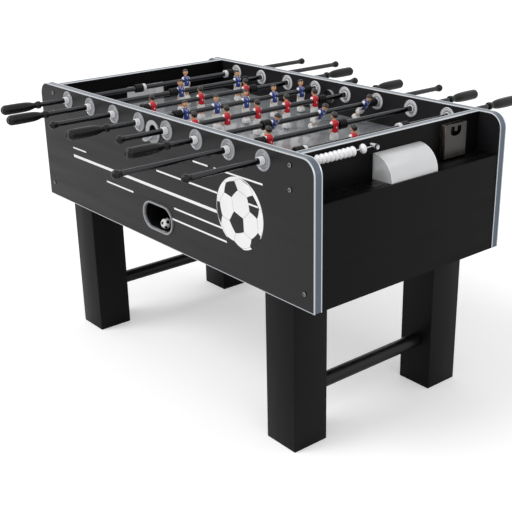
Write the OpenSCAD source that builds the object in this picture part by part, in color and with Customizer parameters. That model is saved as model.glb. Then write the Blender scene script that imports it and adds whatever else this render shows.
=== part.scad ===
// Foosball table: cabinet on four legs, eight sliding and turning rods with players.
// Millimetres, +Z up. X runs along the table, the rods lie along Y.
// The origin is on the floor, under the middle of the table.

/* [Cabinet] */
// Length of the cabinet along X
table_l = 1450; // [1400:10:1760]
// Width of the cabinet along Y
table_w = 760; // [700:10:920]
// Height of the cabinet's top edge above the floor
table_h = 905; // [850:5:1100]
// Height of the side panels
cabinet_h = 415; // [380:5:500]
// Thickness of the side panels
side_t = 28; // [22:1:34]
// Radius of the side panels' rounded top corners
corner_r = 45; // [20:1:70]
// Thickness of the trim on the panel edges
trim_t = 3; // [2:0.5:5]
// Width of the joint line between two pieces that meet end to end
joint_w = 0.2; // [0.1:0.1:0.5]
// Distance from the cabinet's end to the outer face of the upper end wall
end_inset = 81; // [70:1:100]
// Thickness of the upper end walls
end_t = 24; // [18:1:30]
// Height of the upper end walls
end_h = 175; // [160:1:190]
// Distance from the cabinet's end to the outer face of the apron
apron_inset = 3; // [0:1:10]
// Thickness of the aprons under the end shelves
apron_t = 20; // [15:1:25]
// Drop from the cabinet's top edge to the end shelves
shelf_drop = 120; // [115:1:125]
// Thickness of the end shelves
shelf_t = 18; // [12:1:20]
// Thickness of the cabinet's floor board
floor_t = 12; // [9:1:18]
// Side of the square blocks in the cabinet's corners
block_w = 30; // [20:1:36]
// Depth of the corner blocks along Y
block_d = 24; // [18:1:26]

/* [Play field] */
// Drop from the cabinet's top edge to the play field
field_drop = 111; // [108:1:114]
// Thickness of the play field board
field_t = 6; // [4:1:9]
// Width of each goal opening
goal_w = 176; // [150:1:200]
// Height of each goal opening
goal_h = 62; // [50:1:70]
// Height of the beams under the play field
beam_h = 40; // [25:1:45]
// Width of the beams under the play field
beam_w = 30; // [20:1:50]

/* [Legs] */
// Side of a leg's square section
leg_w = 125; // [100:1:150]
// Distance from the cabinet's end to a leg's outer face
leg_inset_x = 115; // [60:1:140]
// Distance from the cabinet's side to a leg's outer face
leg_inset_y = 30; // [28:1:60]
// Wall thickness of a leg
leg_wall = 18; // [12:1:25]
// Diameter of the tie tubes between the legs
tie_d = 45; // [30:1:55]
// Height of the tie tubes above the floor
tie_z = 155; // [100:5:250]
// Wall thickness of the tie tubes
tie_wall = 2; // [1.5:0.5:4]

/* [Rods] */
// Drop from the cabinet's top edge to the rods' centre line
rod_drop = 37; // [36:1:38]
// Distance from rod to rod
rod_pitch = 150; // [148:1:160]
// Outer diameter of a rod
rod_d = 16; // [13:0.1:19.2]
// Wall thickness of a rod's tube
rod_wall = 2.5; // [1.5:0.5:4]
// Radial running clearance between a rod and what it passes through
rod_fit = 0.06; // [0.02:0.01:0.1]
// Distance from the bearing to the grip when the rod is pushed fully in
grip_clear = 72; // [40:1:100]
// Distance from the bearing to the capped end when the rod is pulled fully out
tail_clear = 65; // [45:1:90]

/* [Bearings] */
// Diameter of a bearing's outer flange
flange_d = 60; // [50:1:70]
// Thickness of the outer flange at its rim
flange_t = 4; // [3:0.5:6]
// Length of the boss in front of the outer flange
boss_l = 14; // [8:1:20]
// Outer diameter of the boss
boss_d = 24; // [20:0.5:26]
// Outer diameter of the sleeve through the panel
sleeve_d = 28; // [22:0.5:32]
// Diameter of the inner nut's disc
nut_d = 54; // [44:1:60]
// Thickness of the inner nut's disc
nut_t = 4; // [3:0.5:6]

/* [Players] */
// Distance from the rod's centre line down to the sole of the foot
foot_drop = 70; // [60:1:71]
// Distance from the rod's centre line up to the top of the head
head_rise = 42; // [36:1:50]
// Half of a player's width over the sleeves
man_half = 16; // [12:0.5:18]
// Distance between players on a five-player rod
five_pitch = 122.5; // [110:0.5:125]
// Distance between players on a three-player rod
three_pitch = 195; // [180:1:210]
// Distance between players on a two-player rod
two_pitch = 254; // [220:1:270]
// Lean of the players on the sixth rod
lean_angle = 40; // [-60:1:60]

/* [Bumpers] */
// Length of a rubber bumper
bumper_l = 28; // [20:1:34]
// Outer diameter of a rubber bumper
bumper_d = 30; // [24:1:34]
// Number of ribs on a rubber bumper
bumper_ribs = 4; // [2:1:6]
// Distance from a goalkeeper to the collar on each side
collar_reach = 180; // [150:1:200]
// Length of a goalkeeper's white collar
collar_l = 12; // [8:1:16]
// Small gap that lets a bumper stay still while the rod turns
bumper_gap = 0.3; // [0.2:0.1:0.6]

/* [Grips] */
// Length of a grip
grip_l = 138; // [110:1:150]
// Largest diameter of a grip
grip_d = 33; // [28:1:38]
// Thickness of the grip's neck collar over the rod
grip_neck_t = 4.5; // [3:0.5:6]
// Thickness of the end cap's bead over the rod
cap_bead_t = 4.5; // [4:0.5:6]
// Thickness of the rubber over the rod beside the collar and the bead
waist_t = 1.5; // [1:0.1:2.5]
// Length of the cap on a rod's plain end
cap_l = 27; // [20:1:34]

/* [Ball return] */
// Drop from the cabinet's top edge to the middle of the return
return_drop = 329; // [320:1:340]
// Width of the return's bezel
return_w = 167; // [150:1:180]
// Height of the return's bezel
return_h = 93; // [80:1:100]
// Width of the bezel's ring
bezel_w = 7; // [5:0.5:10]
// Thickness of the bezel's ring
bezel_t = 4; // [3:0.5:6]
// Wall thickness of the return cup, the runways and the gutters
chute_t = 3; // [2:0.5:4]
// Outer width of a runway or a gutter
chute_w = 48; // [44:1:50]
// Height of a runway
chute_h = 26; // [22:1:30]
// Gap between a runway or a gutter and the piece that it is fixed against
chute_fit = 0.3; // [0.1:0.1:0.5]
// Rise of a runway from the return cup to the end gutter
chute_rise = 117.4; // [100:0.2:118]
// Diameter of the ball
ball_d = 35; // [32:0.5:36]

/* [Ball entry] */
// Drop from the cabinet's top edge to the middle of the ball entry
entry_drop = 55; // [52:1:58]
// Diameter of the entry's outer ring
entry_d = 72; // [66:1:80]
// Diameter of the entry's hole
entry_bore = 42; // [38:1:46]
// Reach of the entry's scoop in front of the panel
scoop_l = 34; // [20:1:40]

/* [Score counters] */
// Diameter of a score bead
bead_d = 27; // [22:1:30]
// Thickness of a score bead
bead_w = 15.4; // [12:0.2:15.4]
// Number of beads at each end
bead_count = 10; // [6:1:10]
// Gap between a bead and its neighbour
bead_gap = 0.2; // [0.1:0.1:0.5]
// Distance from the middle of the table to the rail's inner post
rail_inner = 112; // [105:1:118]
// Distance from the side panel to the rail's outer post
rail_outer = 16; // [14:1:20]
// Diameter of the rail's wire
wire_d = 4; // [3:0.5:5]
// Diameter of the rail's posts
post_d = 16; // [12:1:18]
// Length of the rail's posts
post_l = 36; // [34:1:44]
// Drop from the cabinet's top edge to the rail
rail_drop = 21; // [20:1:26]

/* [End fittings] */
// Radius of the quarter-round goal window
dome_r = 72; // [60:1:74]
// Width of the goal window
dome_w = 186; // [182:1:196]
// Wall thickness of the goal window
dome_t = 2; // [1.5:0.5:3]
// Distance from the middle of the table to the middle of the bottle opener
opener_y = 224; // [200:1:250]
// Width of the bottle opener's cap box
opener_w = 92; // [80:1:100]
// Height of the cap box
opener_h = 98; // [80:1:100]
// Depth of the cap box
opener_d = 22; // [16:1:30]
// Thickness of the opener's steel sheet
opener_t = 2; // [1.5:0.5:3]

/* [Fasteners] */
// Diameter of a screw's shank
screw_d = 6; // [4:0.5:8]
// Diameter of a screw's head
screw_head_d = 13; // [10:0.5:16]
// Height of a screw's head
screw_head_h = 2.5; // [1.5:0.5:4]
// Length of a screw's shank in the piece behind the side panel
screw_grip = 30; // [20:1:40]
// Diameter of a leg bolt
bolt_d = 6; // [5:0.5:8]
// Length of a leg bolt below the floor board
bolt_l = 60; // [40:1:90]
// Clearance of every screw and bolt in its hole
screw_fit = 0.15; // [0.1:0.05:0.3]

/* [Hidden] */
$fn = 64;
eps = 0.01;
mid = 0.5;

// Planes and levels of the cabinet
half_l = table_l / 2;
half_w = table_w / 2;
base_z = table_h - cabinet_h;
inner_y = half_w - side_t;
end_out_x = half_l - end_inset;
end_in_x = end_out_x - end_t;
end_low_z = table_h - end_h;
apron_out_x = half_l - apron_inset;
apron_in_x = apron_out_x - apron_t;
shelf_z = table_h - shelf_drop;
floor_top_z = base_z + floor_t;
field_z = table_h - field_drop;
beam_top_z = field_z - field_t;
rod_z = table_h - rod_drop;
return_z = table_h - return_drop;
entry_z = table_h - entry_drop;
rail_z = table_h - rail_drop;

// Rods, counted from the left end: players, team, side of the grip, resting place and lean
rods = [0 : 7];
players_on = [1, 2, 3, 5, 5, 3, 2, 1];
blue_team = [true, true, false, true, false, true, false, false];
grip_side = [-1, -1, 1, -1, 1, -1, 1, 1];
rest_share = [0.87, 0.62, -0.35, 0.65, -0.58, 0.95, -0.62, -0.39];
lean = [0, 0, 0, 0, 0, lean_angle, 0, 0];
rod_r = rod_d / 2;
run_r = rod_r + rod_fit;
bearing_out = half_w + flange_t + boss_l;
stop_y = inner_y - nut_t - mid;

function rod_x(i) = (i - 3.5) * rod_pitch;
function pitch_of(n) = n == 5 ? five_pitch : (n == 3 ? three_pitch : two_pitch);
function man_y(i, j) = (j - (players_on[i] - 1) / 2) * pitch_of(players_on[i]);
function last_man_y(i) = man_y(i, players_on[i] - 1);
function bumper_start(i) =
    players_on[i] == 1
    ? collar_reach + collar_l + bumper_gap
    : last_man_y(i) + man_half + bumper_gap;
function travel(i) = stop_y - bumper_start(i) - bumper_l;
function rest_y(i) = travel(i) * rest_share[i];
function grip_y(i) = bearing_out + travel(i) + grip_clear;
function tail_y(i) = bearing_out + travel(i) + tail_clear;

// Score counters
bead_pitch = bead_w + bead_gap;
rail_x = end_out_x + bead_w / 2 + 12;
outer_post_y = inner_y - rail_outer;
first_bead_y = outer_post_y - post_d / 2 - bead_w / 2 - 6;
stack_count = bead_count - 1;
single_step = 38;

// Ball return
cup_w = return_w - bezel_w;
cup_h = return_h - bezel_w;
cup_back_y = half_w - 108;
chute_y = -inner_y + block_d + chute_fit + chute_w / 2;
chute_low_x = cup_w / 2 + 6;
chute_low_z = return_z + 2;
chute_slope = atan(chute_rise / (apron_in_x - mid - chute_low_x));
gutter_x = (end_out_x + apron_in_x) / 2 + 3;
gutter_slope = 2.2;
gutter_h = 22;
gutter_high_y = 95;
drop_w = 40;
drop_l = 150;
ball_x = 10;

// Places of the fasteners
end_screw_x = end_out_x - end_t / 2;
block_screw_x = apron_in_x - block_w / 2;
end_screw_drops = [28, 94];
block_screw_rise = 48;
leg_bolt_off = leg_w / 2 - leg_wall / 2;

// Places of the beams under the play field
beam_end_x = end_in_x - 60;
beam_xs = [-beam_end_x, -beam_end_x / 3, beam_end_x / 3, beam_end_x];

// ---------- helpers ----------

// A block given by its lowest and highest corners
module span(low, high) {
    translate(low)
        cube(high - low);
}

// A round bar along Y from one Y to another
module bar_y(x, z, r, from_y, to_y) {
    translate([x, to_y, z])
        rotate([90, 0, 0])
            cylinder(r = r, h = to_y - from_y);
}

// A solid of revolution about an axis along Y, drawn from radius and distance along +Y
module turned_y(y, side) {
    translate([0, y, 0])
        scale_side(side)
            rotate([-90, 0, 0])
                rotate_extrude()
                    children();
}

// Mirrors its children across the XZ plane when side is negative
module scale_side(side) {
    if (side > 0)
        children();
    else
        mirror([0, 1, 0])
            children();
}

// Its children at both ends of the table, the second turned half round
module both_ends() {
    children();
    rotate([0, 0, 180])
        children();
}

// Its children on the front side, and again on the rear side as a mirror image
module both_sides() {
    children();
    mirror([0, 1, 0])
        children();
}

// An upright outline, drawn in X and Z, given a thickness along Y
module upright(from_y, to_y) {
    translate([0, to_y, 0])
        rotate([90, 0, 0])
            linear_extrude(height = to_y - from_y)
                children();
}

// The outline of a side panel, shrunk by a margin on every edge
module panel_outline(margin) {
    hx = half_l - margin;
    top = table_h - margin;
    r = corner_r - margin;
    union() {
        translate([-hx, base_z + margin])
            square([2 * hx, top - r - base_z - margin]);
        translate([-hx + r, base_z + margin])
            square([2 * (hx - r), top - base_z - margin]);
        for (s = [-1, 1])
            translate([s * (hx - r), top - r])
                circle(r = r);
    }
}

// A long hole with round ends, drawn about its own middle
module obround(w, h) {
    union() {
        translate([-(w - h) / 2, -h / 2])
            square([w - h, h]);
        for (s = [-1, 1])
            translate([s * (w - h) / 2, 0])
                circle(r = h / 2);
    }
}

// ---------- cabinet ----------

// The board of a side panel with its bearing holes, its ball entry hole and its screw holes
module side_board(from_y, to_y) {
    difference() {
        upright(from_y, to_y)
            panel_outline(trim_t);
        for (i = rods)
            bar_y(rod_x(i), rod_z, sleeve_d / 2 + screw_fit, from_y - eps, to_y + eps);
        bar_y(0, entry_z, entry_bore / 2 + chute_t + screw_fit, from_y - eps, to_y + eps);
        for (s = [-1, 1]) {
            for (d = end_screw_drops)
                bar_y(s * end_screw_x, table_h - d, screw_d / 2 + screw_fit, from_y - eps, to_y + eps);
            bar_y(s * block_screw_x, base_z + block_screw_rise, screw_d / 2 + screw_fit, from_y - eps, to_y + eps);
        }
    }
}

module side_panel_front() {
    color("#2b2a2d")
        difference() {
            side_board(-half_w, -inner_y);
            translate([0, 0, return_z])
                upright(-half_w - eps, -inner_y + eps)
                    obround(cup_w + 2 * screw_fit, cup_h + 2 * screw_fit);
        }
}

module side_panel_rear() {
    color("#2b2a2d")
        side_board(inner_y, half_w);
}

// One rounded corner of the edge trim on a side panel
module corner_trim(s) {
    side = corner_r - joint_w;
    upright(-half_w, -inner_y)
        intersection() {
            difference() {
                panel_outline(0);
                panel_outline(trim_t);
            }
            translate([s > 0 ? half_l - side : -half_l, table_h - side])
                square([side, side]);
        }
}

// The straight strips of edge trim on a side panel
module straight_trims() {
    top_l = half_l - corner_r;
    span([-top_l, -half_w, table_h - trim_t], [top_l, -inner_y, table_h]);
    low_l = half_l - trim_t - joint_w;
    span([-low_l, -half_w, base_z], [low_l, -inner_y, base_z + trim_t]);
    for (x = [-half_l, half_l - trim_t])
        span([x, -half_w, base_z], [x + trim_t, -inner_y, table_h - corner_r]);
}

module edge_trims() {
    color("#b9bec4") {
        both_sides() {
            straight_trims();
            for (s = [-1, 1])
                corner_trim(s);
        }
        both_ends()
            span(
                [end_in_x, -inner_y + joint_w, table_h - trim_t],
                [end_out_x, inner_y - joint_w, table_h]
            );
    }
}

// The right upper end wall, with its goal opening and its screw holes
module end_wall() {
    difference() {
        span([end_in_x, -inner_y, end_low_z], [end_out_x, inner_y, table_h - trim_t]);
        span([end_in_x - eps, -goal_w / 2, field_z], [end_out_x + eps, goal_w / 2, field_z + goal_h]);
        for (d = end_screw_drops) {
            bar_y(end_screw_x, table_h - d, screw_d / 2 + screw_fit, -inner_y - eps, -inner_y + screw_grip + mid);
            bar_y(end_screw_x, table_h - d, screw_d / 2 + screw_fit, inner_y - screw_grip - mid, inner_y + eps);
        }
    }
}

module end_wall_right() {
    color("#1b1a1c")
        end_wall();
}

module end_wall_left() {
    color("#1b1a1c")
        rotate([0, 0, 180])
            end_wall();
}

module end_aprons() {
    color("#131214")
        both_ends()
            span([apron_in_x, -inner_y, base_z], [apron_out_x, inner_y, shelf_z]);
}

module end_shelves() {
    color("#131214")
        both_ends()
            difference() {
                span([end_out_x, -inner_y, shelf_z - shelf_t], [apron_in_x, inner_y, shelf_z]);
                span(
                    [gutter_x - drop_w / 2, -drop_l / 2, shelf_z - shelf_t - eps],
                    [gutter_x + drop_w / 2, drop_l / 2, shelf_z + eps]
                );
            }
}

module playfield() {
    color("#aab0b3")
        span([-end_in_x, -inner_y, beam_top_z], [end_in_x, inner_y, field_z]);
}

module inner_frame() {
    color("#8a6f4f") {
        for (x = beam_xs)
            span([x - beam_w / 2, -inner_y, beam_top_z - beam_h], [x + beam_w / 2, inner_y, beam_top_z]);
        both_ends()
            both_sides()
                corner_block();
    }
}

// The upright block that ties an apron to a side panel, drilled for its screw
module corner_block() {
    difference() {
        span(
            [apron_in_x - block_w, -inner_y, floor_top_z],
            [apron_in_x, -inner_y + block_d, shelf_z - shelf_t]
        );
        bar_y(
            block_screw_x, base_z + block_screw_rise, screw_d / 2 + screw_fit,
            -inner_y - eps, -inner_y + block_d + eps
        );
    }
}

module cabinet_floor() {
    color("#3a3431")
        difference() {
            span([-apron_in_x, -inner_y, base_z], [apron_in_x, inner_y, floor_top_z]);
            leg_bolt_places()
                translate([0, 0, base_z - eps])
                    cylinder(r = bolt_d / 2 + screw_fit, h = floor_t + 2 * eps);
        }
}

// ---------- legs ----------

// Its children at the middle of each leg
module leg_place(sx, sy) {
    translate([
        sx * (half_l - leg_inset_x - leg_w / 2),
        sy * (half_w - leg_inset_y - leg_w / 2),
        0
    ])
        children();
}

// Its children at the four bolts of one leg
module leg_bolts_at() {
    for (bx = [-1, 1])
        for (by = [-1, 1])
            translate([bx * leg_bolt_off, by * leg_bolt_off, 0])
                children();
}

module leg_bolt_places() {
    for (sx = [-1, 1])
        for (sy = [-1, 1])
            leg_place(sx, sy)
                leg_bolts_at()
                    children();
}

// One boxed leg, closed at the foot, open at the top under the floor board
module leg(sx, sy) {
    inner = leg_w - 2 * leg_wall;
    color("#17161a")
        difference() {
            leg_place(sx, sy)
                translate([-leg_w / 2, -leg_w / 2, 0])
                    cube([leg_w, leg_w, base_z]);
            leg_place(sx, sy)
                translate([-inner / 2, -inner / 2, leg_wall])
                    cube([inner, inner, base_z]);
            leg_place(sx, sy)
                leg_bolts_at()
                    translate([0, 0, base_z - bolt_l - 1])
                        cylinder(r = bolt_d / 2 + screw_fit, h = bolt_l + 2);
        }
}

module leg_front_left() {
    leg(-1, -1);
}

module leg_front_right() {
    leg(1, -1);
}

module leg_rear_left() {
    leg(-1, 1);
}

module leg_rear_right() {
    leg(1, 1);
}

// The tube between the front and the rear leg at each end
module leg_ties() {
    reach = half_w - leg_inset_y - leg_w;
    x = half_l - leg_inset_x - leg_w / 2;
    color("#1c1b1e")
        both_ends()
            difference() {
                bar_y(x, tie_z, tie_d / 2, -reach, reach);
                bar_y(x, tie_z, tie_d / 2 - tie_wall, -reach - eps, reach + eps);
            }
}

// ---------- ball return ----------

// A channel open at the top, along +X from its low end, with its floor's underside at Z 0
module channel(length, height) {
    difference() {
        translate([0, -chute_w / 2, 0])
            cube([length, chute_w, height]);
        translate([-eps, -chute_w / 2 + chute_t, chute_t])
            cube([length + 2 * eps, chute_w - 2 * chute_t, height]);
    }
}

// The runway from the end gutter down to the return cup, and the gutter under the shelf
module end_runway() {
    run_l = (apron_in_x - mid - chute_low_x) / cos(chute_slope) - chute_h * tan(chute_slope);
    translate([chute_low_x, chute_y, chute_low_z])
        rotate([0, -chute_slope, 0])
            channel(run_l, chute_h);
    gutter_low_y = chute_y + chute_w / 2 - chute_t;
    gutter_l = (gutter_high_y - gutter_low_y) / cos(gutter_slope);
    gutter_rise = gutter_l * sin(gutter_slope) + gutter_h * cos(gutter_slope);
    gutter_low_z = shelf_z - shelf_t - chute_fit - gutter_rise;
    translate([gutter_x, gutter_low_y, gutter_low_z])
        rotate([0, 0, 90])
            rotate([0, -gutter_slope, 0])
                channel(gutter_l, gutter_h);
}

module ball_runways() {
    color("#c9cdd0") {
        end_runway();
        mirror([1, 0, 0])
            end_runway();
    }
}

module ball_return_cup() {
    window_h = chute_h + 4;
    color("#8e9296")
        difference() {
            translate([0, 0, return_z])
                upright(-half_w, -cup_back_y)
                    obround(cup_w, cup_h);
            translate([0, 0, return_z])
                upright(-half_w - eps, -cup_back_y - chute_t)
                    obround(cup_w - 2 * chute_t, cup_h - 2 * chute_t);
            for (s = [-1, 1])
                span(
                    [s * cup_w / 2 - 14, chute_y - chute_w / 2 + chute_t, chute_low_z + chute_t],
                    [s * cup_w / 2 + 14, chute_y + chute_w / 2 - chute_t, chute_low_z + window_h]
                );
        }
    color("#c4c8cc")
        translate([0, 0, return_z])
            difference() {
                upright(-half_w - bezel_t, -half_w - joint_w)
                    obround(return_w, return_h);
                upright(-half_w - bezel_t - eps, -half_w + eps)
                    obround(cup_w - 2 * chute_t, cup_h - 2 * chute_t);
            }
}

// The round cup that the ball is dropped through, with a scoop in front of the panel
module ball_entry_cup() {
    bore_r = entry_bore / 2;
    tube_r = bore_r + chute_t;
    translate([0, 0, entry_z])
        difference() {
            union() {
                bar_y(0, 0, entry_d / 2, -half_w - 4, -half_w);
                bar_y(0, 0, tube_r, -half_w - 4, -inner_y + 10);
                difference() {
                    bar_y(0, 0, tube_r, -half_w - scoop_l, -half_w);
                    span([-tube_r - 1, -half_w - scoop_l - 1, 0], [tube_r + 1, -half_w - 4, tube_r + 1]);
                }
            }
            bar_y(0, 0, bore_r, -half_w - scoop_l - 1, -inner_y + 11);
        }
}

module ball_entry_cups() {
    color("#d5d7da")
        both_sides()
            ball_entry_cup();
}

// The clear quarter-round window over the shelf behind a goal
module goal_window() {
    half = dome_w / 2;
    translate([end_out_x, 0, shelf_z])
        intersection() {
            difference() {
                bar_y(0, 0, dome_r, -half, half);
                bar_y(0, 0, dome_r - dome_t, -half + dome_t, half - dome_t);
            }
            span([0, -half - 1, 0], [dome_r + 1, half + 1, dome_r + 1]);
        }
}

module goal_windows() {
    color("#dfe6ea", 0.5)
        both_ends()
            goal_window();
}

// The ball, lying in the return cup
module ball() {
    ball_floor = return_z - cup_h / 2 + chute_t;
    color("#f4f4f0")
        translate([ball_x, -half_w + 22, ball_floor + chute_fit + ball_d / 2])
            sphere(r = ball_d / 2);
}

// ---------- rods ----------

// The outer flange, boss and sleeve of one bearing, on the front side
module bearing_flange(x) {
    translate([x, 0, rod_z])
        difference() {
            union() {
                bar_y(0, 0, flange_d / 2, -half_w - flange_t, -half_w);
                bar_y(0, 0, boss_d / 2, -bearing_out, -half_w);
                bar_y(0, 0, sleeve_d / 2, -half_w - 1, -inner_y + nut_t / 2);
            }
            bar_y(0, 0, run_r, -bearing_out - 1, -inner_y + nut_t);
            difference() {
                bar_y(0, 0, flange_d / 2 - 3, -half_w - flange_t - 1, -half_w - flange_t + 1);
                bar_y(0, 0, boss_d / 2 + 3, -half_w - flange_t - 1, -half_w);
            }
        }
}

// The disc nut that closes a bearing on the inner side
module bearing_nut(x) {
    translate([x, 0, rod_z])
        difference() {
            bar_y(0, 0, nut_d / 2, -inner_y, -inner_y + nut_t);
            bar_y(0, 0, sleeve_d / 2 + screw_fit, -inner_y - eps, -inner_y + nut_t / 2 + joint_w);
            bar_y(0, 0, run_r, -inner_y - eps, -inner_y + nut_t + eps);
        }
}

module rod_bearings() {
    both_sides()
        for (i = rods) {
            color("#b9bcc0")
                bearing_flange(rod_x(i));
            color("#e8eaec")
                bearing_nut(rod_x(i));
        }
}

// Puts its children on rod i, at its resting place along Y
module on_rod(i) {
    translate([rod_x(i), rest_y(i), rod_z])
        children();
}

// The steel tube of one rod, from inside its grip to inside its end cap
module rod_shaft(i) {
    grip_end = grip_y(i) + grip_l - 25;
    tail_end = tail_y(i) - 8;
    low = grip_side[i] < 0 ? -grip_end : -tail_end;
    high = grip_side[i] < 0 ? tail_end : grip_end;
    color("#9aa0a6")
        on_rod(i)
            difference() {
                bar_y(0, 0, rod_r, low, high);
                bar_y(0, 0, rod_r - rod_wall, low - 1, high + 1);
            }
}

// Half of a player's outline from the front: half width and height from the rod's centre line
man_front = [
    [10, -foot_drop], [11, -foot_drop + 3], [11, -foot_drop + 11], [8, -foot_drop + 14], [8, -46],
    [12.5, -41], [12, -20], [13.5, -18], [man_half, -9], [man_half, 6], [man_half - 3, 12], [6, 17], [5, 22]
];
// A player's outline from the side: depth and height from the rod's centre line
man_side = [
    [-10, -foot_drop], [13, -foot_drop], [13, -foot_drop + 7], [7, -foot_drop + 13], [7, -46], [9, -41],
    [9.5, -20], [11.5, -8], [11.5, 8], [8, 14], [5, 17], [5, 22], [-5, 22], [-6, 17], [-9, 14],
    [-11.5, 8], [-11.5, -8], [-9.5, -20], [-9, -41], [-7, -46], [-7, -foot_drop + 13], [-10, -foot_drop + 7]
];
head_r = 11.5;

// One player, moulded round the rod, with the rod through the chest
module player() {
    left_edge = [for (k = [len(man_front) - 1 : -1 : 0]) [-man_front[k][0], man_front[k][1]]];
    difference() {
        union() {
            intersection() {
                rotate([90, 0, 90])
                    translate([0, 0, -20])
                        linear_extrude(height = 40)
                            polygon(concat(man_front, left_edge));
                translate([0, man_half + 1, 0])
                    rotate([90, 0, 0])
                        linear_extrude(height = 2 * man_half + 2)
                            polygon(man_side);
            }
            translate([0, 0, head_rise - head_r])
                sphere(r = head_r);
        }
        bar_y(0, 0, run_r, -man_half - 1, man_half + 1);
    }
}

module rod_players(i) {
    color(blue_team[i] ? "#23408e" : "#c22a31")
        on_rod(i)
            rotate([0, lean[i], 0])
                for (j = [0 : players_on[i] - 1])
                    translate([0, man_y(i, j), 0])
                        player();
}

// The turned grip, open at the neck for the rod
module grip_body() {
    r = grip_d / 2;
    neck = rod_r + grip_neck_t;
    waist = rod_r + waist_t;
    difference() {
        rotate_extrude()
            polygon([
                [0, 0], [neck - 2, 0], [neck, 2], [neck, 12], [waist, 15], [waist, 24],
                [r - 4, 34], [r - 1, 52], [r, 80], [r, grip_l - 18], [r - 2, grip_l - 7],
                [r - 7, grip_l], [0, grip_l]
            ]);
        translate([0, 0, -eps])
            cylinder(r = run_r, h = grip_l - 25 + mid);
    }
}

// The round rubber cap on the plain end
module end_cap() {
    r = rod_r + cap_bead_t;
    difference() {
        union() {
            cylinder(r = rod_r + waist_t, h = cap_l - r);
            translate([0, 0, cap_l - r])
                sphere(r = r);
        }
        translate([0, 0, -eps])
            cylinder(r = run_r, h = cap_l - 8 + mid);
    }
}

module rod_grip(i) {
    color("#141315")
        on_rod(i) {
            scale_side(grip_side[i])
                translate([0, grip_y(i), 0])
                    rotate([-90, 0, 0])
                        grip_body();
            scale_side(-grip_side[i])
                translate([0, tail_y(i) - cap_l, 0])
                    rotate([-90, 0, 0])
                        end_cap();
        }
}

// A ribbed rubber bumper along +Y from its inner end
module bumper() {
    rib = bumper_l / (2 * bumper_ribs - 1);
    r = bumper_d / 2;
    difference() {
        rotate([-90, 0, 0])
            union() {
                cylinder(r = r - 2.5, h = bumper_l);
                for (k = [0 : bumper_ribs - 1])
                    translate([0, 0, 2 * k * rib])
                        cylinder(r = r, h = rib);
            }
        bar_y(0, 0, run_r, -1, bumper_l + 1);
    }
}

// A goalkeeper's white collar along +Y from its inner end
module collar() {
    difference() {
        bar_y(0, 0, bumper_d / 2 - 1, 0, collar_l);
        bar_y(0, 0, run_r, -1, collar_l + 1);
    }
}

module rod_bumpers(i) {
    on_rod(i)
        both_sides() {
            color("#19181a")
                translate([0, bumper_start(i), 0])
                    bumper();
            if (players_on[i] == 1)
                color("#e9eaec")
                    translate([0, collar_reach, 0])
                        collar();
        }
}

// ---------- end fittings ----------

// The two posts and the wire of one score counter
module score_rail() {
    hole_r = wire_d / 2 + screw_fit;
    translate([end_out_x, 0, rail_z])
        for (y = [-outer_post_y, -rail_inner])
            difference() {
                translate([0, y, 0])
                    rotate([0, 90, 0])
                        cylinder(r = post_d / 2, h = post_l);
                bar_y(rail_x - end_out_x, 0, hole_r, -outer_post_y - 4, -rail_inner + 4);
            }
    bar_y(rail_x, rail_z, wire_d / 2, -outer_post_y - 3.8, -rail_inner + 3.8);
}

module score_rails() {
    color("#c8ccd0")
        both_ends()
            score_rail();
}

// A score bead whose middle is at the given Y on the right rail
module bead(y) {
    r = bead_d / 2;
    translate([rail_x, y - bead_w / 2, rail_z])
        rotate([-90, 0, 0])
            rotate_extrude()
                polygon([
                    [wire_d / 2 + screw_fit, 0], [r - 4, 0], [r - 1, 3], [r, bead_w / 2 - 1],
                    [r, bead_w / 2 + 1], [r - 1, bead_w - 3], [r - 4, bead_w], [wire_d / 2 + screw_fit, bead_w]
                ]);
}

module bead_row(count) {
    for (k = [0 : count - 1])
        bead(-first_bead_y + k * bead_pitch);
}

module beads_right_stack() {
    color("#f0f0f2")
        bead_row(stack_count);
}

module beads_right_single() {
    color("#f0f0f2")
        bead(-first_bead_y + (stack_count - 1) * bead_pitch + single_step);
}

module beads_left() {
    color("#f0f0f2")
        rotate([0, 0, 180])
            bead_row(bead_count);
}

// The steel cap box with the opener's claw cut in its front
module bottle_opener() {
    t = opener_t;
    low_z = shelf_z + 7;
    claw_w = opener_w * 0.5;
    claw_h = opener_h * 0.34;
    tongue_w = opener_w * 0.14;
    color("#8f8a84")
        translate([end_out_x, opener_y - opener_w / 2, low_z])
            difference() {
                cube([opener_d, opener_w, opener_h]);
                translate([t, t, t])
                    cube([opener_d - 2 * t, opener_w - 2 * t, opener_h]);
                difference() {
                    translate([opener_d - t - eps, opener_w / 2 - claw_w / 2, opener_h - claw_h - 8])
                        cube([t + 2 * eps, claw_w, claw_h]);
                    translate([opener_d - t - 1, opener_w / 2 - tongue_w / 2, opener_h - claw_h * 0.75])
                        cube([t + 2, tongue_w, claw_h]);
                }
            }
}

// ---------- fasteners ----------

// A screw through the front panel, with its head outside
module panel_screw(x, z, length) {
    translate([x, 0, z]) {
        bar_y(0, 0, screw_d / 2, -half_w - eps, -inner_y + length);
        bar_y(0, 0, screw_head_d / 2, -half_w - screw_head_h, -half_w);
    }
}

// A leg bolt through the floor board, with its head inside the cabinet
module leg_bolt() {
    translate([0, 0, base_z - bolt_l])
        cylinder(r = bolt_d / 2, h = bolt_l + floor_t + eps);
    translate([0, 0, floor_top_z])
        cylinder(r = bolt_d, h = 4);
}

module fasteners() {
    color("#a9adb2") {
        both_sides()
            for (s = [-1, 1]) {
                for (d = end_screw_drops)
                    panel_screw(s * end_screw_x, table_h - d, screw_grip);
                panel_screw(s * block_screw_x, base_z + block_screw_rise, block_d - 2);
            }
        leg_bolt_places()
            leg_bolt();
    }
}

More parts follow.
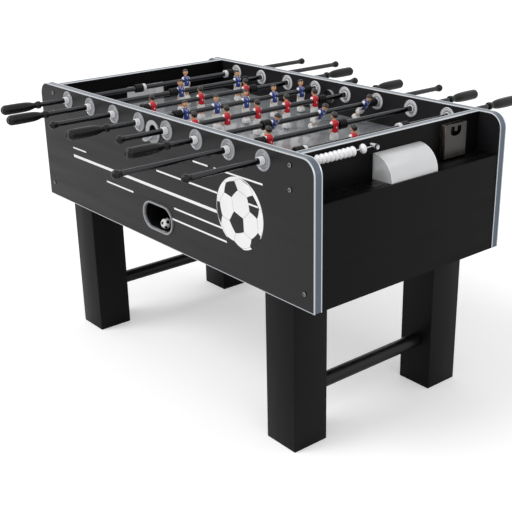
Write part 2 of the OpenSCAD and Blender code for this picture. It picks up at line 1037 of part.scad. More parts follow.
side_panel_front();
side_panel_rear();
edge_trims();
end_wall_left();
end_wall_right();
end_aprons();
end_shelves();
playfield();
inner_frame();
cabinet_floor();
leg_front_left();
leg_front_right();
leg_rear_left();
leg_rear_right();
leg_ties();
ball_runways();
ball_return_cup();
ball_entry_cups();
goal_windows();
rod_bearings();
score_rails();
beads_right_stack();
beads_right_single();
beads_left();
bottle_opener();
fasteners();
ball();
rod_shaft(0);  // rod_1_shaft
rod_players(0);  // rod_1_players
rod_grip(0);  // rod_1_grip
rod_bumpers(0);  // rod_1_bumpers
rod_shaft(1);  // rod_2_shaft
rod_players(1);  // rod_2_players
rod_grip(1);  // rod_2_grip
rod_bumpers(1);  // rod_2_bumpers
rod_shaft(2);  // rod_3_shaft
rod_players(2);  // rod_3_players
rod_grip(2);  // rod_3_grip
rod_bumpers(2);  // rod_3_bumpers
rod_shaft(3);  // rod_4_shaft
rod_players(3);  // rod_4_players
rod_grip(3);  // rod_4_grip
rod_bumpers(3);  // rod_4_bumpers
rod_shaft(4);  // rod_5_shaft
rod_players(4);  // rod_5_players
rod_grip(4);  // rod_5_grip
rod_bumpers(4);  // rod_5_bumpers
rod_shaft(5);  // rod_6_shaft
rod_players(5);  // rod_6_players
rod_grip(5);  // rod_6_grip
rod_bumpers(5);  // rod_6_bumpers
rod_shaft(6);  // rod_7_shaft
rod_players(6);  // rod_7_players
rod_grip(6);  // rod_7_grip
rod_bumpers(6);  // rod_7_bumpers
rod_shaft(7);  // rod_8_shaft
rod_players(7);  // rod_8_players
rod_grip(7);  // rod_8_grip
rod_bumpers(7);  // rod_8_bumpers
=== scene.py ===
import math
import bmesh
import bpy
from mathutils import Matrix, Vector


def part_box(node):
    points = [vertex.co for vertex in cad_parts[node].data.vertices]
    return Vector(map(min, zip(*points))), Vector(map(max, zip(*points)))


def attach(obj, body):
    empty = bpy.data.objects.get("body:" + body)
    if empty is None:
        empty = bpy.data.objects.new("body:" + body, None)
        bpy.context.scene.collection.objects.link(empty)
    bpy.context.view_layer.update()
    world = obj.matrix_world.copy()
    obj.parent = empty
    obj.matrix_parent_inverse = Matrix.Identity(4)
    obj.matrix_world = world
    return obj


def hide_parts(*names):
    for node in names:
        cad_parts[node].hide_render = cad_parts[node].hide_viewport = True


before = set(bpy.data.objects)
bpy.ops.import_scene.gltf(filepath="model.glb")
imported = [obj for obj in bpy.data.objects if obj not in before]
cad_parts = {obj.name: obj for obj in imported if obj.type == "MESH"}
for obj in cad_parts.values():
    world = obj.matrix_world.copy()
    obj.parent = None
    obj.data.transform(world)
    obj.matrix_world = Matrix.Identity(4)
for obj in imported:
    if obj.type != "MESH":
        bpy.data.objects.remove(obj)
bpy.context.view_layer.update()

MM = 0.001

# ---------- sizes taken from the frame, in millimetres ----------


def low_high(node):
    low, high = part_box(node)
    return low / MM, high / MM


def middle(node):
    low, high = low_high(node)
    return (low + high) / 2


TRIM_LOW, TRIM_HIGH = low_high("edge_trims")
PANEL_LOW, PANEL_HIGH = low_high("side_panel_front")
FIELD_HIGH = low_high("playfield")[1]
WALL_LOW, WALL_HIGH = low_high("end_wall_right")
BEARING_LOW = low_high("rod_bearings")[0]
FRONT_Y = PANEL_LOW.y
INNER_Y = PANEL_HIGH.y
ROD_Z = middle("rod_1_shaft").z
ROD_R = (low_high("rod_1_shaft")[1].x - low_high("rod_1_shaft")[0].x) / 2
# What slides on a rod is bored this much wider than it
BORE_R = ROD_R + 0.06
CORNER_R = 45
PRINT_T = 0.25
PLAYERS_ON = [1, 2, 3, 5, 5, 3, 2, 1]
BLUE_TEAM = [True, True, False, True, False, True, False, False]
GRIP_SIDE = [-1, -1, 1, -1, 1, -1, 1, 1]
LEAN = [0, 0, 0, 0, 0, 40, 0, 0]
MAN_HALF = 16
GRIP_L = 138
CAP_L = 27
BUMPER_L = 28
COLLAR_L = 12

# ---------- materials ----------


def surface(name, colour, rough=0.4, metal=0.0, shade=0.15, grain=(40, 40, 40),
            relief=0.0, fine=600, coat=0.0, alpha=1.0, spread=0.08, shine=0.5):
    """A finish whose colour and gloss vary a little, with a fine relief."""
    material = bpy.data.materials.new(name)
    material.use_nodes = True
    nodes, links = material.node_tree.nodes, material.node_tree.links
    shader = nodes["Principled BSDF"]
    shader.inputs["Metallic"].default_value = metal
    shader.inputs["Coat Weight"].default_value = coat
    shader.inputs["Alpha"].default_value = alpha
    shader.inputs["Specular IOR Level"].default_value = shine
    place = nodes.new("ShaderNodeTexCoord")
    stretch = nodes.new("ShaderNodeMapping")
    stretch.inputs["Scale"].default_value = grain
    cloud = nodes.new("ShaderNodeTexNoise")
    cloud.inputs["Scale"].default_value = 1.0
    cloud.inputs["Detail"].default_value = 6.0
    links.new(place.outputs["Object"], stretch.inputs["Vector"])
    links.new(stretch.outputs["Vector"], cloud.inputs["Vector"])
    tint = nodes.new("ShaderNodeMix")
    tint.data_type = "RGBA"
    tint.inputs[6].default_value = [c * (1 - shade) for c in colour] + [1]
    tint.inputs[7].default_value = [min(1, c * (1 + shade)) for c in colour] + [1]
    links.new(cloud.outputs["Fac"], tint.inputs[0])
    links.new(tint.outputs[2], shader.inputs["Base Color"])
    gloss = nodes.new("ShaderNodeMapRange")
    gloss.inputs["From Min"].default_value = 0.3
    gloss.inputs["From Max"].default_value = 0.7
    gloss.inputs["To Min"].default_value = max(0.03, rough - spread)
    gloss.inputs["To Max"].default_value = rough + spread
    links.new(cloud.outputs["Fac"], gloss.inputs["Value"])
    links.new(gloss.outputs["Result"], shader.inputs["Roughness"])
    if relief:
        grit = nodes.new("ShaderNodeTexNoise")
        grit.inputs["Scale"].default_value = fine
        grit.inputs["Detail"].default_value = 3.0
        links.new(place.outputs["Object"], grit.inputs["Vector"])
        bump = nodes.new("ShaderNodeBump")
        bump.inputs["Strength"].default_value = relief
        bump.inputs["Distance"].default_value = 0.0003
        links.new(grit.outputs["Fac"], bump.inputs["Height"])
        links.new(bump.outputs["Normal"], shader.inputs["Normal"])
    return material


BOARD = surface("board_laminate", (0.0105, 0.0095, 0.011), 0.4, grain=(2, 30, 30), relief=0.12, fine=900,
                shine=0.3)
# The end walls and aprons take the front panels' laminate painted darker, as shade on the ends turned from
# the key lamp
SHADED_END_BOARD = surface("end_laminate_painted_shade", (0.0025, 0.0021, 0.0023), 0.4, grain=(30, 2, 30), relief=0.1, fine=900,
                    shine=0.1)
SHELF_BOARD = surface("shelf_laminate", (0.004, 0.0036, 0.004), 0.3, grain=(20, 3, 20), relief=0.1,
                      fine=900, shine=0.2)
LEG_BOARD = surface("leg_laminate", (0.0042, 0.0037, 0.0042), 0.38, grain=(30, 30, 2), relief=0.15,
                    fine=800, shine=0.14)
RAW_BOARD = surface("raw_fibreboard", (0.25, 0.16, 0.09), 0.8, shade=0.3, grain=(90, 90, 90), relief=0.5,
                    fine=500)
FLOOR_BOARD = surface("floor_hardboard", (0.05, 0.038, 0.03), 0.6, shade=0.3, grain=(60, 60, 60),
                      relief=0.4)
FIELD = surface("field_print", (0.25, 0.265, 0.28), 0.28, shade=0.16, grain=(4, 4, 4), relief=0.1, coat=0.6)
FIELD_LINE = surface("field_line", (0.42, 0.44, 0.46), 0.4, shade=0.05)
# The silver trim in two copies: its rounded ridges painted bright as highlight, its flat middle painted
# dark blue-grey as a dark reflection
TRIM_RIDGE_HIGHLIGHT = surface("trim_ridge_painted_highlight", (0.66, 0.69, 0.73), 0.18, metal=1.0, shade=0.08, grain=(8, 8, 8))
TRIM_BAND_DARK_REFLECTION = surface("trim_band_painted_dark_reflection", (0.13, 0.155, 0.19), 0.26, metal=1.0, shade=0.2, grain=(6, 6, 6))
CHROME = surface("chrome", (0.55, 0.56, 0.58), 0.1, metal=1.0, shade=0.08, grain=(200, 6, 200), spread=0.04)
# Chrome painted near black: the dark colour stands in for the dark surroundings the rods reflect, so only
# the lamps' highlights show bright
ROD_CHROME_DARKENED = surface("rod_chrome", (0.055, 0.056, 0.06), 0.14, metal=1.0, shade=0.3, grain=(260, 9, 260),
                     spread=0.05)
# Brushed steel painted dark: the dark colour stands in for the dark surroundings the steel reflects
STEEL = surface("brushed_steel_painted_dark", (0.085, 0.08, 0.075), 0.3, metal=1.0, shade=0.3, grain=(300, 300, 8),
                relief=0.2)
# A lighter copy of the same steel: a painted highlight for the opener's left wall, which faces the key lamp
LIT_SIDE_STEEL = surface("opener_side_painted_highlight", (0.4, 0.38, 0.35), 0.25, metal=1.0, shade=0.15, grain=(300, 300, 8),
                     relief=0.1)
DARK_STEEL = surface("dark_steel", (0.02, 0.02, 0.02), 0.45, metal=0.6, shade=0.2, grain=(80, 80, 80))
BLACK_METAL = surface("black_paint", (0.006, 0.006, 0.0065), 0.34, shade=0.2, relief=0.25, fine=700,
                      shine=0.3)
SILVER_PLASTIC = surface("silver_moulding", (0.36, 0.37, 0.39), 0.3, metal=0.35, shade=0.1,
                         grain=(50, 50, 50), relief=0.08)
# Mid grey painted into the bearings' ring grooves as shade
GROOVE_SHADE = surface("groove_painted_shade", (0.10, 0.105, 0.11), 0.4, shade=0.15)
PALE_PLASTIC = surface("pale_moulding", (0.46, 0.47, 0.49), 0.32, shade=0.08, relief=0.1, coat=0.2)
WHITE_PLASTIC = surface("white_moulding", (0.80, 0.80, 0.82), 0.3, shade=0.04, relief=0.06, coat=0.2)
CUP_PLASTIC = surface("cup_plastic", (0.005, 0.005, 0.0055), 0.42, shade=0.3, relief=0.2, shine=0.25)
BEAD_PLASTIC = surface("bead_plastic", (0.86, 0.86, 0.88), 0.24, shade=0.04, relief=0.05, coat=0.3)
WINDOW = surface("window_plastic", (0.93, 0.94, 0.95), 0.1, shade=0.04, grain=(14, 14, 14), alpha=0.62,
                 coat=0.6)
# Opaque white for the goal windows' edges: a painted highlight
WINDOW_GLINT = surface("window_glint_strip", (0.95, 0.95, 0.96), 0.2, shade=0.03)
PRINT_WHITE = surface("print_white", (0.94, 0.94, 0.95), 0.4, shade=0.03, grain=(30, 30, 30))
PRINT_BLACK = surface("print_black", (0.010, 0.009, 0.011), 0.4, shade=0.2)
PRINT_GREY = surface("print_grey", (0.55, 0.55, 0.57), 0.4, shade=0.1)
GRIP_BLACK = surface("grip_plastic", (0.0035, 0.0035, 0.004), 0.28, shade=0.25, relief=0.3, fine=420,
                     shine=0.3)
RUBBER = surface("bumper_rubber", (0.006, 0.006, 0.0065), 0.42, shade=0.3, relief=0.3, fine=500, shine=0.35)
SKIN = surface("painted_skin", (0.86, 0.48, 0.26), 0.38, shade=0.06, relief=0.05)
HAIR = surface("painted_hair", (0.012, 0.007, 0.006), 0.34, shade=0.35, grain=(500, 500, 90), relief=0.5,
               fine=400)
SHIRT_BLUE = surface("painted_blue", (0.022, 0.055, 0.28), 0.36, shade=0.14, grain=(90, 90, 90),
                     relief=0.15)
SHIRT_RED = surface("painted_red", (0.62, 0.010, 0.025), 0.36, shade=0.14, grain=(90, 90, 90), relief=0.15)
KIT_WHITE = surface("painted_white", (0.90, 0.90, 0.90), 0.34, shade=0.04, relief=0.08)
BALL_WHITE = surface("ball_skin", (0.88, 0.88, 0.86), 0.35, shade=0.04, relief=0.2)

# ---------- shapes, in millimetres ----------


def data_from(name, verts, faces, materials, bands=None, crease=35):
    """A mesh with outward normals, smooth where it turns gently; verts are in millimetres."""
    mesh = bpy.data.meshes.new(name)
    mesh.from_pydata([Vector(v) * MM for v in verts], [], faces)
    for material in materials:
        mesh.materials.append(material)
    if bands:
        mesh.polygons.foreach_set("material_index", bands)
    shape = bmesh.new()
    shape.from_mesh(mesh)
    bmesh.ops.remove_doubles(shape, verts=shape.verts, dist=1e-7)
    bmesh.ops.recalc_face_normals(shape, faces=shape.faces)
    shape.to_mesh(mesh)
    shape.free()
    mesh.shade_smooth()
    mesh.set_sharp_from_angle(angle=math.radians(crease))
    return mesh


def piece(name, mesh, body, at=(0, 0, 0), turn=None, replaces=()):
    obj = bpy.data.objects.new(name, mesh)
    bpy.context.scene.collection.objects.link(obj)
    obj.matrix_world = Matrix.Translation(Vector(at) * MM) @ (turn or Matrix())
    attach(obj, body)
    if replaces:
        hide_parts(*replaces)
    return obj


def basis(axis):
    axis = Vector(axis).normalized()
    side = Vector((0, 0, 1)) if abs(axis.z) < 0.9 else Vector((1, 0, 0))
    across = axis.cross(side).normalized()
    return axis, across, axis.cross(across)


def lathe(name, profile, materials, axis=(0, 1, 0), steps=48, crease=35):
    """A turned shape: profile holds (distance along the axis, radius[, material of the band after it])."""
    axis, u, v = basis(axis)
    verts, rings, faces, bands = [], [], [], []
    for point in profile:
        along, radius = point[0], point[1]
        count = 1 if radius < 1e-6 else steps
        rings.append(list(range(len(verts), len(verts) + count)))
        for k in range(count):
            a = 2 * math.pi * k / steps
            verts.append(axis * along + (u * math.cos(a) + v * math.sin(a)) * radius)
    for k in range(len(profile) - 1):
        near, far = rings[k], rings[k + 1]
        band = profile[k][2] if len(profile[k]) > 2 else 0
        for s in range(steps):
            corners = [near[s % len(near)], near[(s + 1) % len(near)],
                       far[(s + 1) % len(far)], far[s % len(far)]]
            face = [c for i, c in enumerate(corners) if c not in corners[:i]]
            if len(face) > 2:
                faces.append(face)
                bands.append(band)
    return data_from(name, verts, faces, materials, bands, crease)


def rounded(points, per=5):
    """A smooth line through (distance, radius) points."""
    out = []
    for k in range(len(points) - 1):
        p0 = points[max(k - 1, 0)]
        p1, p2 = points[k], points[k + 1]
        p3 = points[min(k + 2, len(points) - 1)]
        for s in range(per):
            t = s / per
            out.append(tuple(
                0.5 * (2 * b + (c - a) * t + (2 * a - 5 * b + 4 * c - d) * t * t
                       + (3 * b - a - 3 * c + d) * t ** 3)
                for a, b, c, d in zip(p0, p1, p2, p3)
            ))
    return out + [points[-1]]


def ring_of(section, steps):
    """One superellipse ring: section is (z, middle x, middle y, half x, half y, power)."""
    z, cx, cy, hx, hy, power = section
    out = []
    for k in range(steps):
        a = 2 * math.pi * k / steps
        c, s = math.cos(a), math.sin(a)
        out.append((cx + hx * math.copysign(abs(c) ** (2 / power), c),
                    cy + hy * math.copysign(abs(s) ** (2 / power), s), z))
    return out


class Figure:
    """Collects lofts and balls of several materials into one mesh."""

    def __init__(self):
        self.verts, self.faces, self.bands = [], [], []

    def add(self, verts, faces, band):
        start = len(self.verts)
        self.verts += verts
        self.faces += [[start + i for i in face] for face in faces]
        self.bands += [band] * len(faces)

    def loft(self, sections, band, steps=20):
        verts, faces = [], []
        for section in sections:
            verts += ring_of(section, steps)
        for k in range(len(sections) - 1):
            for s in range(steps):
                t = (s + 1) % steps
                faces.append([k * steps + s, k * steps + t, (k + 1) * steps + t, (k + 1) * steps + s])
        faces.append(list(range(steps)))
        faces.append(list(range((len(sections) - 1) * steps, len(sections) * steps)))
        self.add(verts, faces, band)

    def ball(self, centre, radii, band, steps=20, keep=None):
        """An ellipsoid, or the part of it on the far side of the plane keep = (normal, distance)."""
        rows = steps // 2
        verts, faces = [], []
        for r in range(rows + 1):
            tilt = math.pi * r / rows
            for s in range(steps):
                a = 2 * math.pi * s / steps
                way = Vector((math.sin(tilt) * math.cos(a), math.sin(tilt) * math.sin(a), math.cos(tilt)))
                verts.append(Vector([c + radius * w for c, radius, w in zip(centre, radii, way)]))
        for r in range(rows):
            for s in range(steps):
                t = (s + 1) % steps
                face = [r * steps + s, r * steps + t, (r + 1) * steps + t, (r + 1) * steps + s]
                if keep is None:
                    faces.append(face)
                    continue
                mid = sum((verts[i] for i in face), Vector()) / 4 - Vector(centre)
                if mid.dot(Vector(keep[0])) > keep[1]:
                    faces.append(face)
        self.add(verts, faces, band)

    def mesh(self, name, materials, crease=40):
        return data_from(name, self.verts, self.faces, materials, self.bands, crease)


def block(name, low, high, material, edge=1.0):
    """A box with rounded edges."""
    low, high = Vector(low), Vector(high)
    shape = bmesh.new()
    bmesh.ops.create_cube(shape, size=1)
    for vert in shape.verts:
        vert.co = Vector([(l + h) / 2 + c * (h - l) for l, h, c in zip(low, high, vert.co)]) * MM
    bmesh.ops.bevel(shape, geom=list(shape.edges), offset=edge * MM, segments=3, profile=0.5,
                    affect="EDGES", clamp_overlap=True)
    mesh = bpy.data.meshes.new(name)
    shape.to_mesh(mesh)
    shape.free()
    mesh.materials.append(material)
    mesh.shade_smooth()
    mesh.set_sharp_from_angle(angle=math.radians(50))
    return mesh


def dress(material, *names):
    for name in names:
        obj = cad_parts[name]
        if not obj.material_slots:
            obj.data.materials.append(material)
        for holder in obj.material_slots:
            holder.material = material


# ---------- cabinet ----------

# The third number picks the trim's copy: 0 the ridges, painted bright as highlight, 1 the flat middle,
# painted dark as a reflection
TRIM_PROFILE = [
    (0, 3.1, 0), (0, 1.2, 0), (0.4, 0.4, 0), (1.2, 0, 0), (2.8, 0, 0), (3.8, 0.7, 1), (5.5, 1.1, 1),
    (22.5, 1.1, 1), (24.2, 0.7, 0), (25.2, 0, 0), (26.8, 0, 0), (27.6, 0.4, 0), (28, 1.2, 0), (28, 3.1, 0),
]


def sweep_trim(name, path, across, closed):
    """Edge trim: path holds (point, way in), across is the direction over the board's thickness."""
    thick = abs(PANEL_HIGH.y - PANEL_LOW.y)
    share = thick / TRIM_PROFILE[-1][0]
    verts, faces, bands = [], [], []
    count = len(TRIM_PROFILE)
    for point, inward in path:
        for over, depth, _ in TRIM_PROFILE:
            verts.append(Vector(point) + Vector(across) * over * share + Vector(inward) * depth)
    rows = len(path) if closed else len(path) - 1
    for r in range(rows):
        n = (r + 1) % len(path)
        for k in range(count):
            j = (k + 1) % count
            faces.append([r * count + k, r * count + j, n * count + j, n * count + k])
            bands.append(TRIM_PROFILE[k][2])
    if not closed:
        faces += [list(range(count)), list(range((len(path) - 1) * count, len(path) * count))]
        bands += [0, 0]
    return data_from(name, verts, faces, [TRIM_RIDGE_HIGHLIGHT, TRIM_BAND_DARK_REFLECTION], bands)


def panel_path(y):
    left, right, low, top = TRIM_LOW.x, TRIM_HIGH.x, TRIM_LOW.z, TRIM_HIGH.z
    path = [((left, y, low), (1, 0, 1))]
    for side, from_angle in ((left + CORNER_R, 180), (right - CORNER_R, 90)):
        for k in range(13):
            a = math.radians(from_angle - 7.5 * k)
            way = Vector((math.cos(a), 0, math.sin(a)))
            path.append((Vector((side, y, top - CORNER_R)) + way * CORNER_R, -way))
    path.append(((right, y, low), (-1, 0, 1)))
    return path


def make_trims():
    names = ("front", "rear")
    for name, y, across in zip(names, (FRONT_Y, -FRONT_Y), ((0, 1, 0), (0, -1, 0))):
        mesh = sweep_trim("trim_" + name, panel_path(y), across, True)
        piece("edge_trim_" + name, mesh, "root", replaces=["edge_trims"])
    reach = abs(INNER_Y) - 0.2
    share = (WALL_HIGH.x - WALL_LOW.x) / (PANEL_HIGH.y - PANEL_LOW.y)
    for name, x, way in (("right", WALL_LOW.x, 1), ("left", -WALL_LOW.x, -1)):
        path = [((x, y, TRIM_HIGH.z), (0, 0, -1)) for y in (-reach, reach)]
        mesh = sweep_trim("trim_end_" + name, path, (way * share, 0, 0), False)
        piece("edge_trim_end_" + name, mesh, "root")


def make_legs():
    for name in ("leg_front_left", "leg_front_right", "leg_rear_left", "leg_rear_right"):
        low, high = low_high(name)
        mesh = block(name + "_shell", low, high, LEG_BOARD, 2.5)
        piece(name + "_boxed", mesh, "root", replaces=[name])


# ---------- printing on the front panel ----------

# Height, start, end and width of each speed line on the front panel
SPEED_LINES = [
    (702, -521, -432, 5), (673, -522, 310, 9.5), (627, -305, -140, 5.5), (730, 5, 316, 5.5),
    (800, 202, 274, 5), (800, 303, 520, 5), (629, 92, 333, 5.5), (592, 78, 353, 5.5),
]
BALL_PRINT = (416.5, 693)
BALL_PRINT_R = 104.5


def flat_shapes(name, polygons, y, material):
    """Thin printed shapes on the front panel, from outlines in X and Z."""
    verts, faces = [], []
    for outline in polygons:
        start, count = len(verts), len(outline)
        verts += [(x, y, z) for x, z in outline] + [(x, y - PRINT_T, z) for x, z in outline]
        faces.append([start + k for k in range(count)])
        faces.append([start + count + k for k in range(count)])
        for k in range(count):
            j = (k + 1) % count
            faces.append([start + k, start + j, start + count + j, start + count + k])
    return data_from(name, verts, faces, [material], crease=20)


def line_outline(x0, x1, z, width):
    """A line with cut ends that lean forward a little."""
    half = width / 2
    lean = width * 0.35
    return [(x0, z + half), (x1, z + half), (x1 + lean, z - half), (x0 + lean, z - half)]


def icosahedron():
    g = (1 + math.sqrt(5)) / 2
    out = []
    for a in (-1, 1):
        for b in (-g, g):
            out += [Vector((0, a, b)), Vector((a, b, 0)), Vector((b, 0, a))]
    return [p.normalized() for p in out]


def football(turn):
    """The corners of the twelve dark patches and the ends of the seams, on a ball of radius 1."""
    points = [turn @ p for p in icosahedron()]
    patches, seams = [], []
    for i, p in enumerate(points):
        near = [q for q in points if 0.1 < (q - p).length < 1.1]
        u = (near[0] - p).cross(p).normalized()
        v = p.cross(u)
        near.sort(key=lambda q: math.atan2((q - p).dot(v), (q - p).dot(u)))
        patches.append((p, [(p + (q - p) / 3).normalized() for q in near]))
        for j, q in enumerate(points):
            if j > i and (q - p).length < 1.1:
                seams.append(((p + (q - p) / 3).normalized(), (q + (p - q) / 3).normalized()))
    return patches, seams


def arc_points(a, b, count):
    return [(a + (b - a) * (k / count)).normalized() for k in range(count + 1)]


def strip(points, width, closed=False):
    """Flat quads of even width along a line in X and Y."""
    quads = []
    pairs = list(zip(points, points[1:] + points[:1])) if closed else list(zip(points, points[1:]))
    for (x0, y0), (x1, y1) in pairs:
        length = math.hypot(x1 - x0, y1 - y0)
        ox, oy = -(y1 - y0) / length * width / 2, (x1 - x0) / length * width / 2
        quads.append([(x0 + ox, y0 + oy), (x1 + ox, y1 + oy), (x1 - ox, y1 - oy), (x0 - ox, y0 - oy)])
    return quads


# Read across and up from the printed ball's middle in shares of its radius: two neighbouring dark
# patches, the white streak over a third one, and the corners of the break in the rim
BALL_PATCH = (-0.11, -0.315)
BALL_NEXT_PATCH = (-0.36, 0.575)
BALL_STREAK = [(0.38, 0.37), (0.8, 0.37)]
BALL_BREAK = [(0.42, -0.82), (0.49, -0.63), (0.75, -0.42), (0.86, -0.48)]
# In degrees round the ball, where its rim is cut straight and where it is broken
FLAT_FROM, FLAT_TO = -126, -81
BREAK_FROM, BREAK_TO = -60, -29


def ball_turn():
    """The turn that brings two neighbouring corners of the icosahedron to the two named patches."""

    def front(spot):
        across, up = spot
        return Vector((across, -math.sqrt(1 - across * across - up * up), up))

    def axes(first, second):
        side = first.cross(second).normalized()
        return Matrix((first, side, side.cross(first))).transposed()

    points = icosahedron()
    first = points[0]
    second = next(p for p in points if 0.1 < (p - first).length < 1.1)
    return axes(front(BALL_PATCH), front(BALL_NEXT_PATCH)) @ axes(first, second).transposed()


def on_ball(spots):
    cx, cz = BALL_PRINT
    return [(cx + across * BALL_PRINT_R, cz + up * BALL_PRINT_R) for across, up in spots]


def ball_outline():
    def rim(a, b):
        steps = max(2, round((b - a) / 4))
        angles = [math.radians(a + (b - a) * k / steps) for k in range(steps + 1)]
        return on_ball([(math.cos(t), math.sin(t)) for t in angles])

    return rim(FLAT_TO, BREAK_FROM) + on_ball(BALL_BREAK) + rim(BREAK_TO, FLAT_FROM + 360)


def inside(point, outline):
    x, z = point
    hit = False
    for (x0, z0), (x1, z1) in zip(outline, outline[1:] + outline[:1]):
        if (z0 > z) != (z1 > z) and x < x0 + (z - z0) * (x1 - x0) / (z1 - z0):
            hit = not hit
    return hit


def make_ball_print():
    patches, seams = football(ball_turn())
    cx, cz = BALL_PRINT
    disc = ball_outline()

    def seen(p):
        return (cx + p.x * BALL_PRINT_R * 0.985, cz + p.z * BALL_PRINT_R * 0.985)

    piece("print_ball_disc", flat_shapes("ball_disc", [disc], FRONT_Y, PRINT_WHITE), "root")
    dark = []
    for centre, corners in patches:
        rim = []
        for k, corner in enumerate(corners):
            rim += arc_points(corner, corners[(k + 1) % 5], 6)[:-1]
        rim = [p for p in rim if p.y < 0.02]
        if len(rim) > 4 and centre.y < 0.25:
            dark.append([seen(p) for p in rim])
    mesh = flat_shapes("ball_patches", dark, FRONT_Y - PRINT_T, BOARD)
    piece("print_ball_patches", mesh, "root")
    thin = []
    for a, b in seams:
        line = [p for p in arc_points(a, b, 8) if p.y < 0]
        for p, q in zip(line, line[1:]):
            if inside(seen(p), disc) and inside(seen(q), disc):
                thin += strip([seen(p), seen(q)], 1.4)
    mesh = flat_shapes("ball_seams", thin, FRONT_Y - PRINT_T, PRINT_GREY)
    piece("print_ball_seams", mesh, "root")
    streak = strip(on_ball(BALL_STREAK), 5)
    mesh = flat_shapes("ball_streak", streak, FRONT_Y - 1.5 * PRINT_T, PRINT_WHITE)
    piece("print_ball_streak", mesh, "root")


def make_prints():
    lines = [line_outline(x0, x1, z, w) for z, x0, x1, w in SPEED_LINES]
    piece("print_speed_lines", flat_shapes("speed_lines", lines, FRONT_Y, PRINT_WHITE), "root")
    make_ball_print()


# ---------- field markings ----------

MARK_W = 5
MARK_T = 0.15
CENTRE_R = 105
# Depth and half width of the goal area and the penalty area
AREAS = ((100, 130), (215, 225))
ARC_REACH, ARC_HALF = 55, 85


def lay_flat(name, quads, z, material):
    verts, faces = [], []
    for quad in quads:
        start = len(verts)
        verts += [(x, y, z) for x, y in quad] + [(x, y, z + MARK_T) for x, y in quad]
        faces += [[start, start + 1, start + 2, start + 3], [start + 4, start + 5, start + 6, start + 7]]
        for k in range(4):
            j = (k + 1) % 4
            faces.append([start + k, start + j, start + 4 + j, start + 4 + k])
    return data_from(name, verts, faces, [material], crease=20)


def make_field_marks():
    end_x, z = FIELD_HIGH.x, FIELD_HIGH.z
    quads = strip([(0, -abs(INNER_Y)), (0, abs(INNER_Y))], MARK_W)
    quads += strip([(CENTRE_R * math.cos(2 * math.pi * k / 72), CENTRE_R * math.sin(2 * math.pi * k / 72))
                    for k in range(72)], MARK_W, True)
    for side in (-1, 1):
        for depth, half in AREAS:
            x = side * (end_x - depth)
            quads += strip([(side * end_x, -half), (x, -half), (x, half), (side * end_x, half)], MARK_W)
        arc = [(side * (end_x - AREAS[1][0] - ARC_REACH * math.sin(math.pi * k / 24)),
                -ARC_HALF * math.cos(math.pi * k / 24))
               for k in range(25)]
        quads += strip(arc, MARK_W)
    piece("field_lines", lay_flat("field_lines", quads, z, FIELD_LINE), "root")


# ---------- bearings, entries, return and screws ----------

def bearing_front_mesh():
    out = abs(BEARING_LOW.y) - abs(FRONT_Y)
    return lathe("bearing_outer", [
        (0, 30, 0), (2.2, 30, 0), (3.4, 29.4, 0), (4, 28.2, 0), (4, 26.4, 0), (3.1, 25.6, 0),
        (2.9, 22.5, 3), (2.7, 20.9, 0), (3.5, 20.2, 0), (3.5, 18.2, 3), (2.7, 17.2, 0), (2.7, 14.4, 2),
        (2.7, 12.6, 1),
        (9, 11.9, 1), (out - 1.2, 11.6, 1), (out, 10.6, 1), (out, 9.4, 2), (out - 1.2, BORE_R, 2),
        (-1, BORE_R, 0), (-1, 14, 0), (0, 14, 0), (0, 30, 0),
    ], [SILVER_PLASTIC, WHITE_PLASTIC, CUP_PLASTIC, GROOVE_SHADE], axis=(0, -1, 0), steps=64, crease=28)


def bearing_nut_mesh():
    return lathe("bearing_nut", [
        (0, 27, 0), (1.6, 27, 0), (2.8, 26.2, 0), (3.1, 24.6, 2), (2.3, 23.4, 0), (2.1, 18.9, 2),
        (2.9, 17.6, 0), (2.9, 16.2, 0), (2.2, 15.4, 1), (2.2, 13.4, 0), (3.6, 12.6, 0), (4, 11.6, 0),
        (4, 9.2, 1), (3.4, BORE_R, 1), (0.1, BORE_R, 0), (0, 27, 0),
    ], [WHITE_PLASTIC, CUP_PLASTIC, GROOVE_SHADE], axis=(0, 1, 0), steps=64, crease=28)


def make_bearings():
    flange, nut = bearing_front_mesh(), bearing_nut_mesh()
    for k in range(1, 9):
        x = middle(f"rod_{k}_shaft").x
        for name, turn in (("front", Matrix()), ("rear", Matrix.Rotation(math.pi, 4, "Z"))):
            side = -1 if name == "front" else 1
            piece(f"bearing_{name}_{k}", flange, "root",
                  (x, side * abs(FRONT_Y), ROD_Z), turn, ["rod_bearings"] if k == 1 else ())
            piece(f"bearing_nut_{name}_{k}", nut, "root",
                  (x, side * abs(INNER_Y), ROD_Z), turn)


ENTRY_R = 36


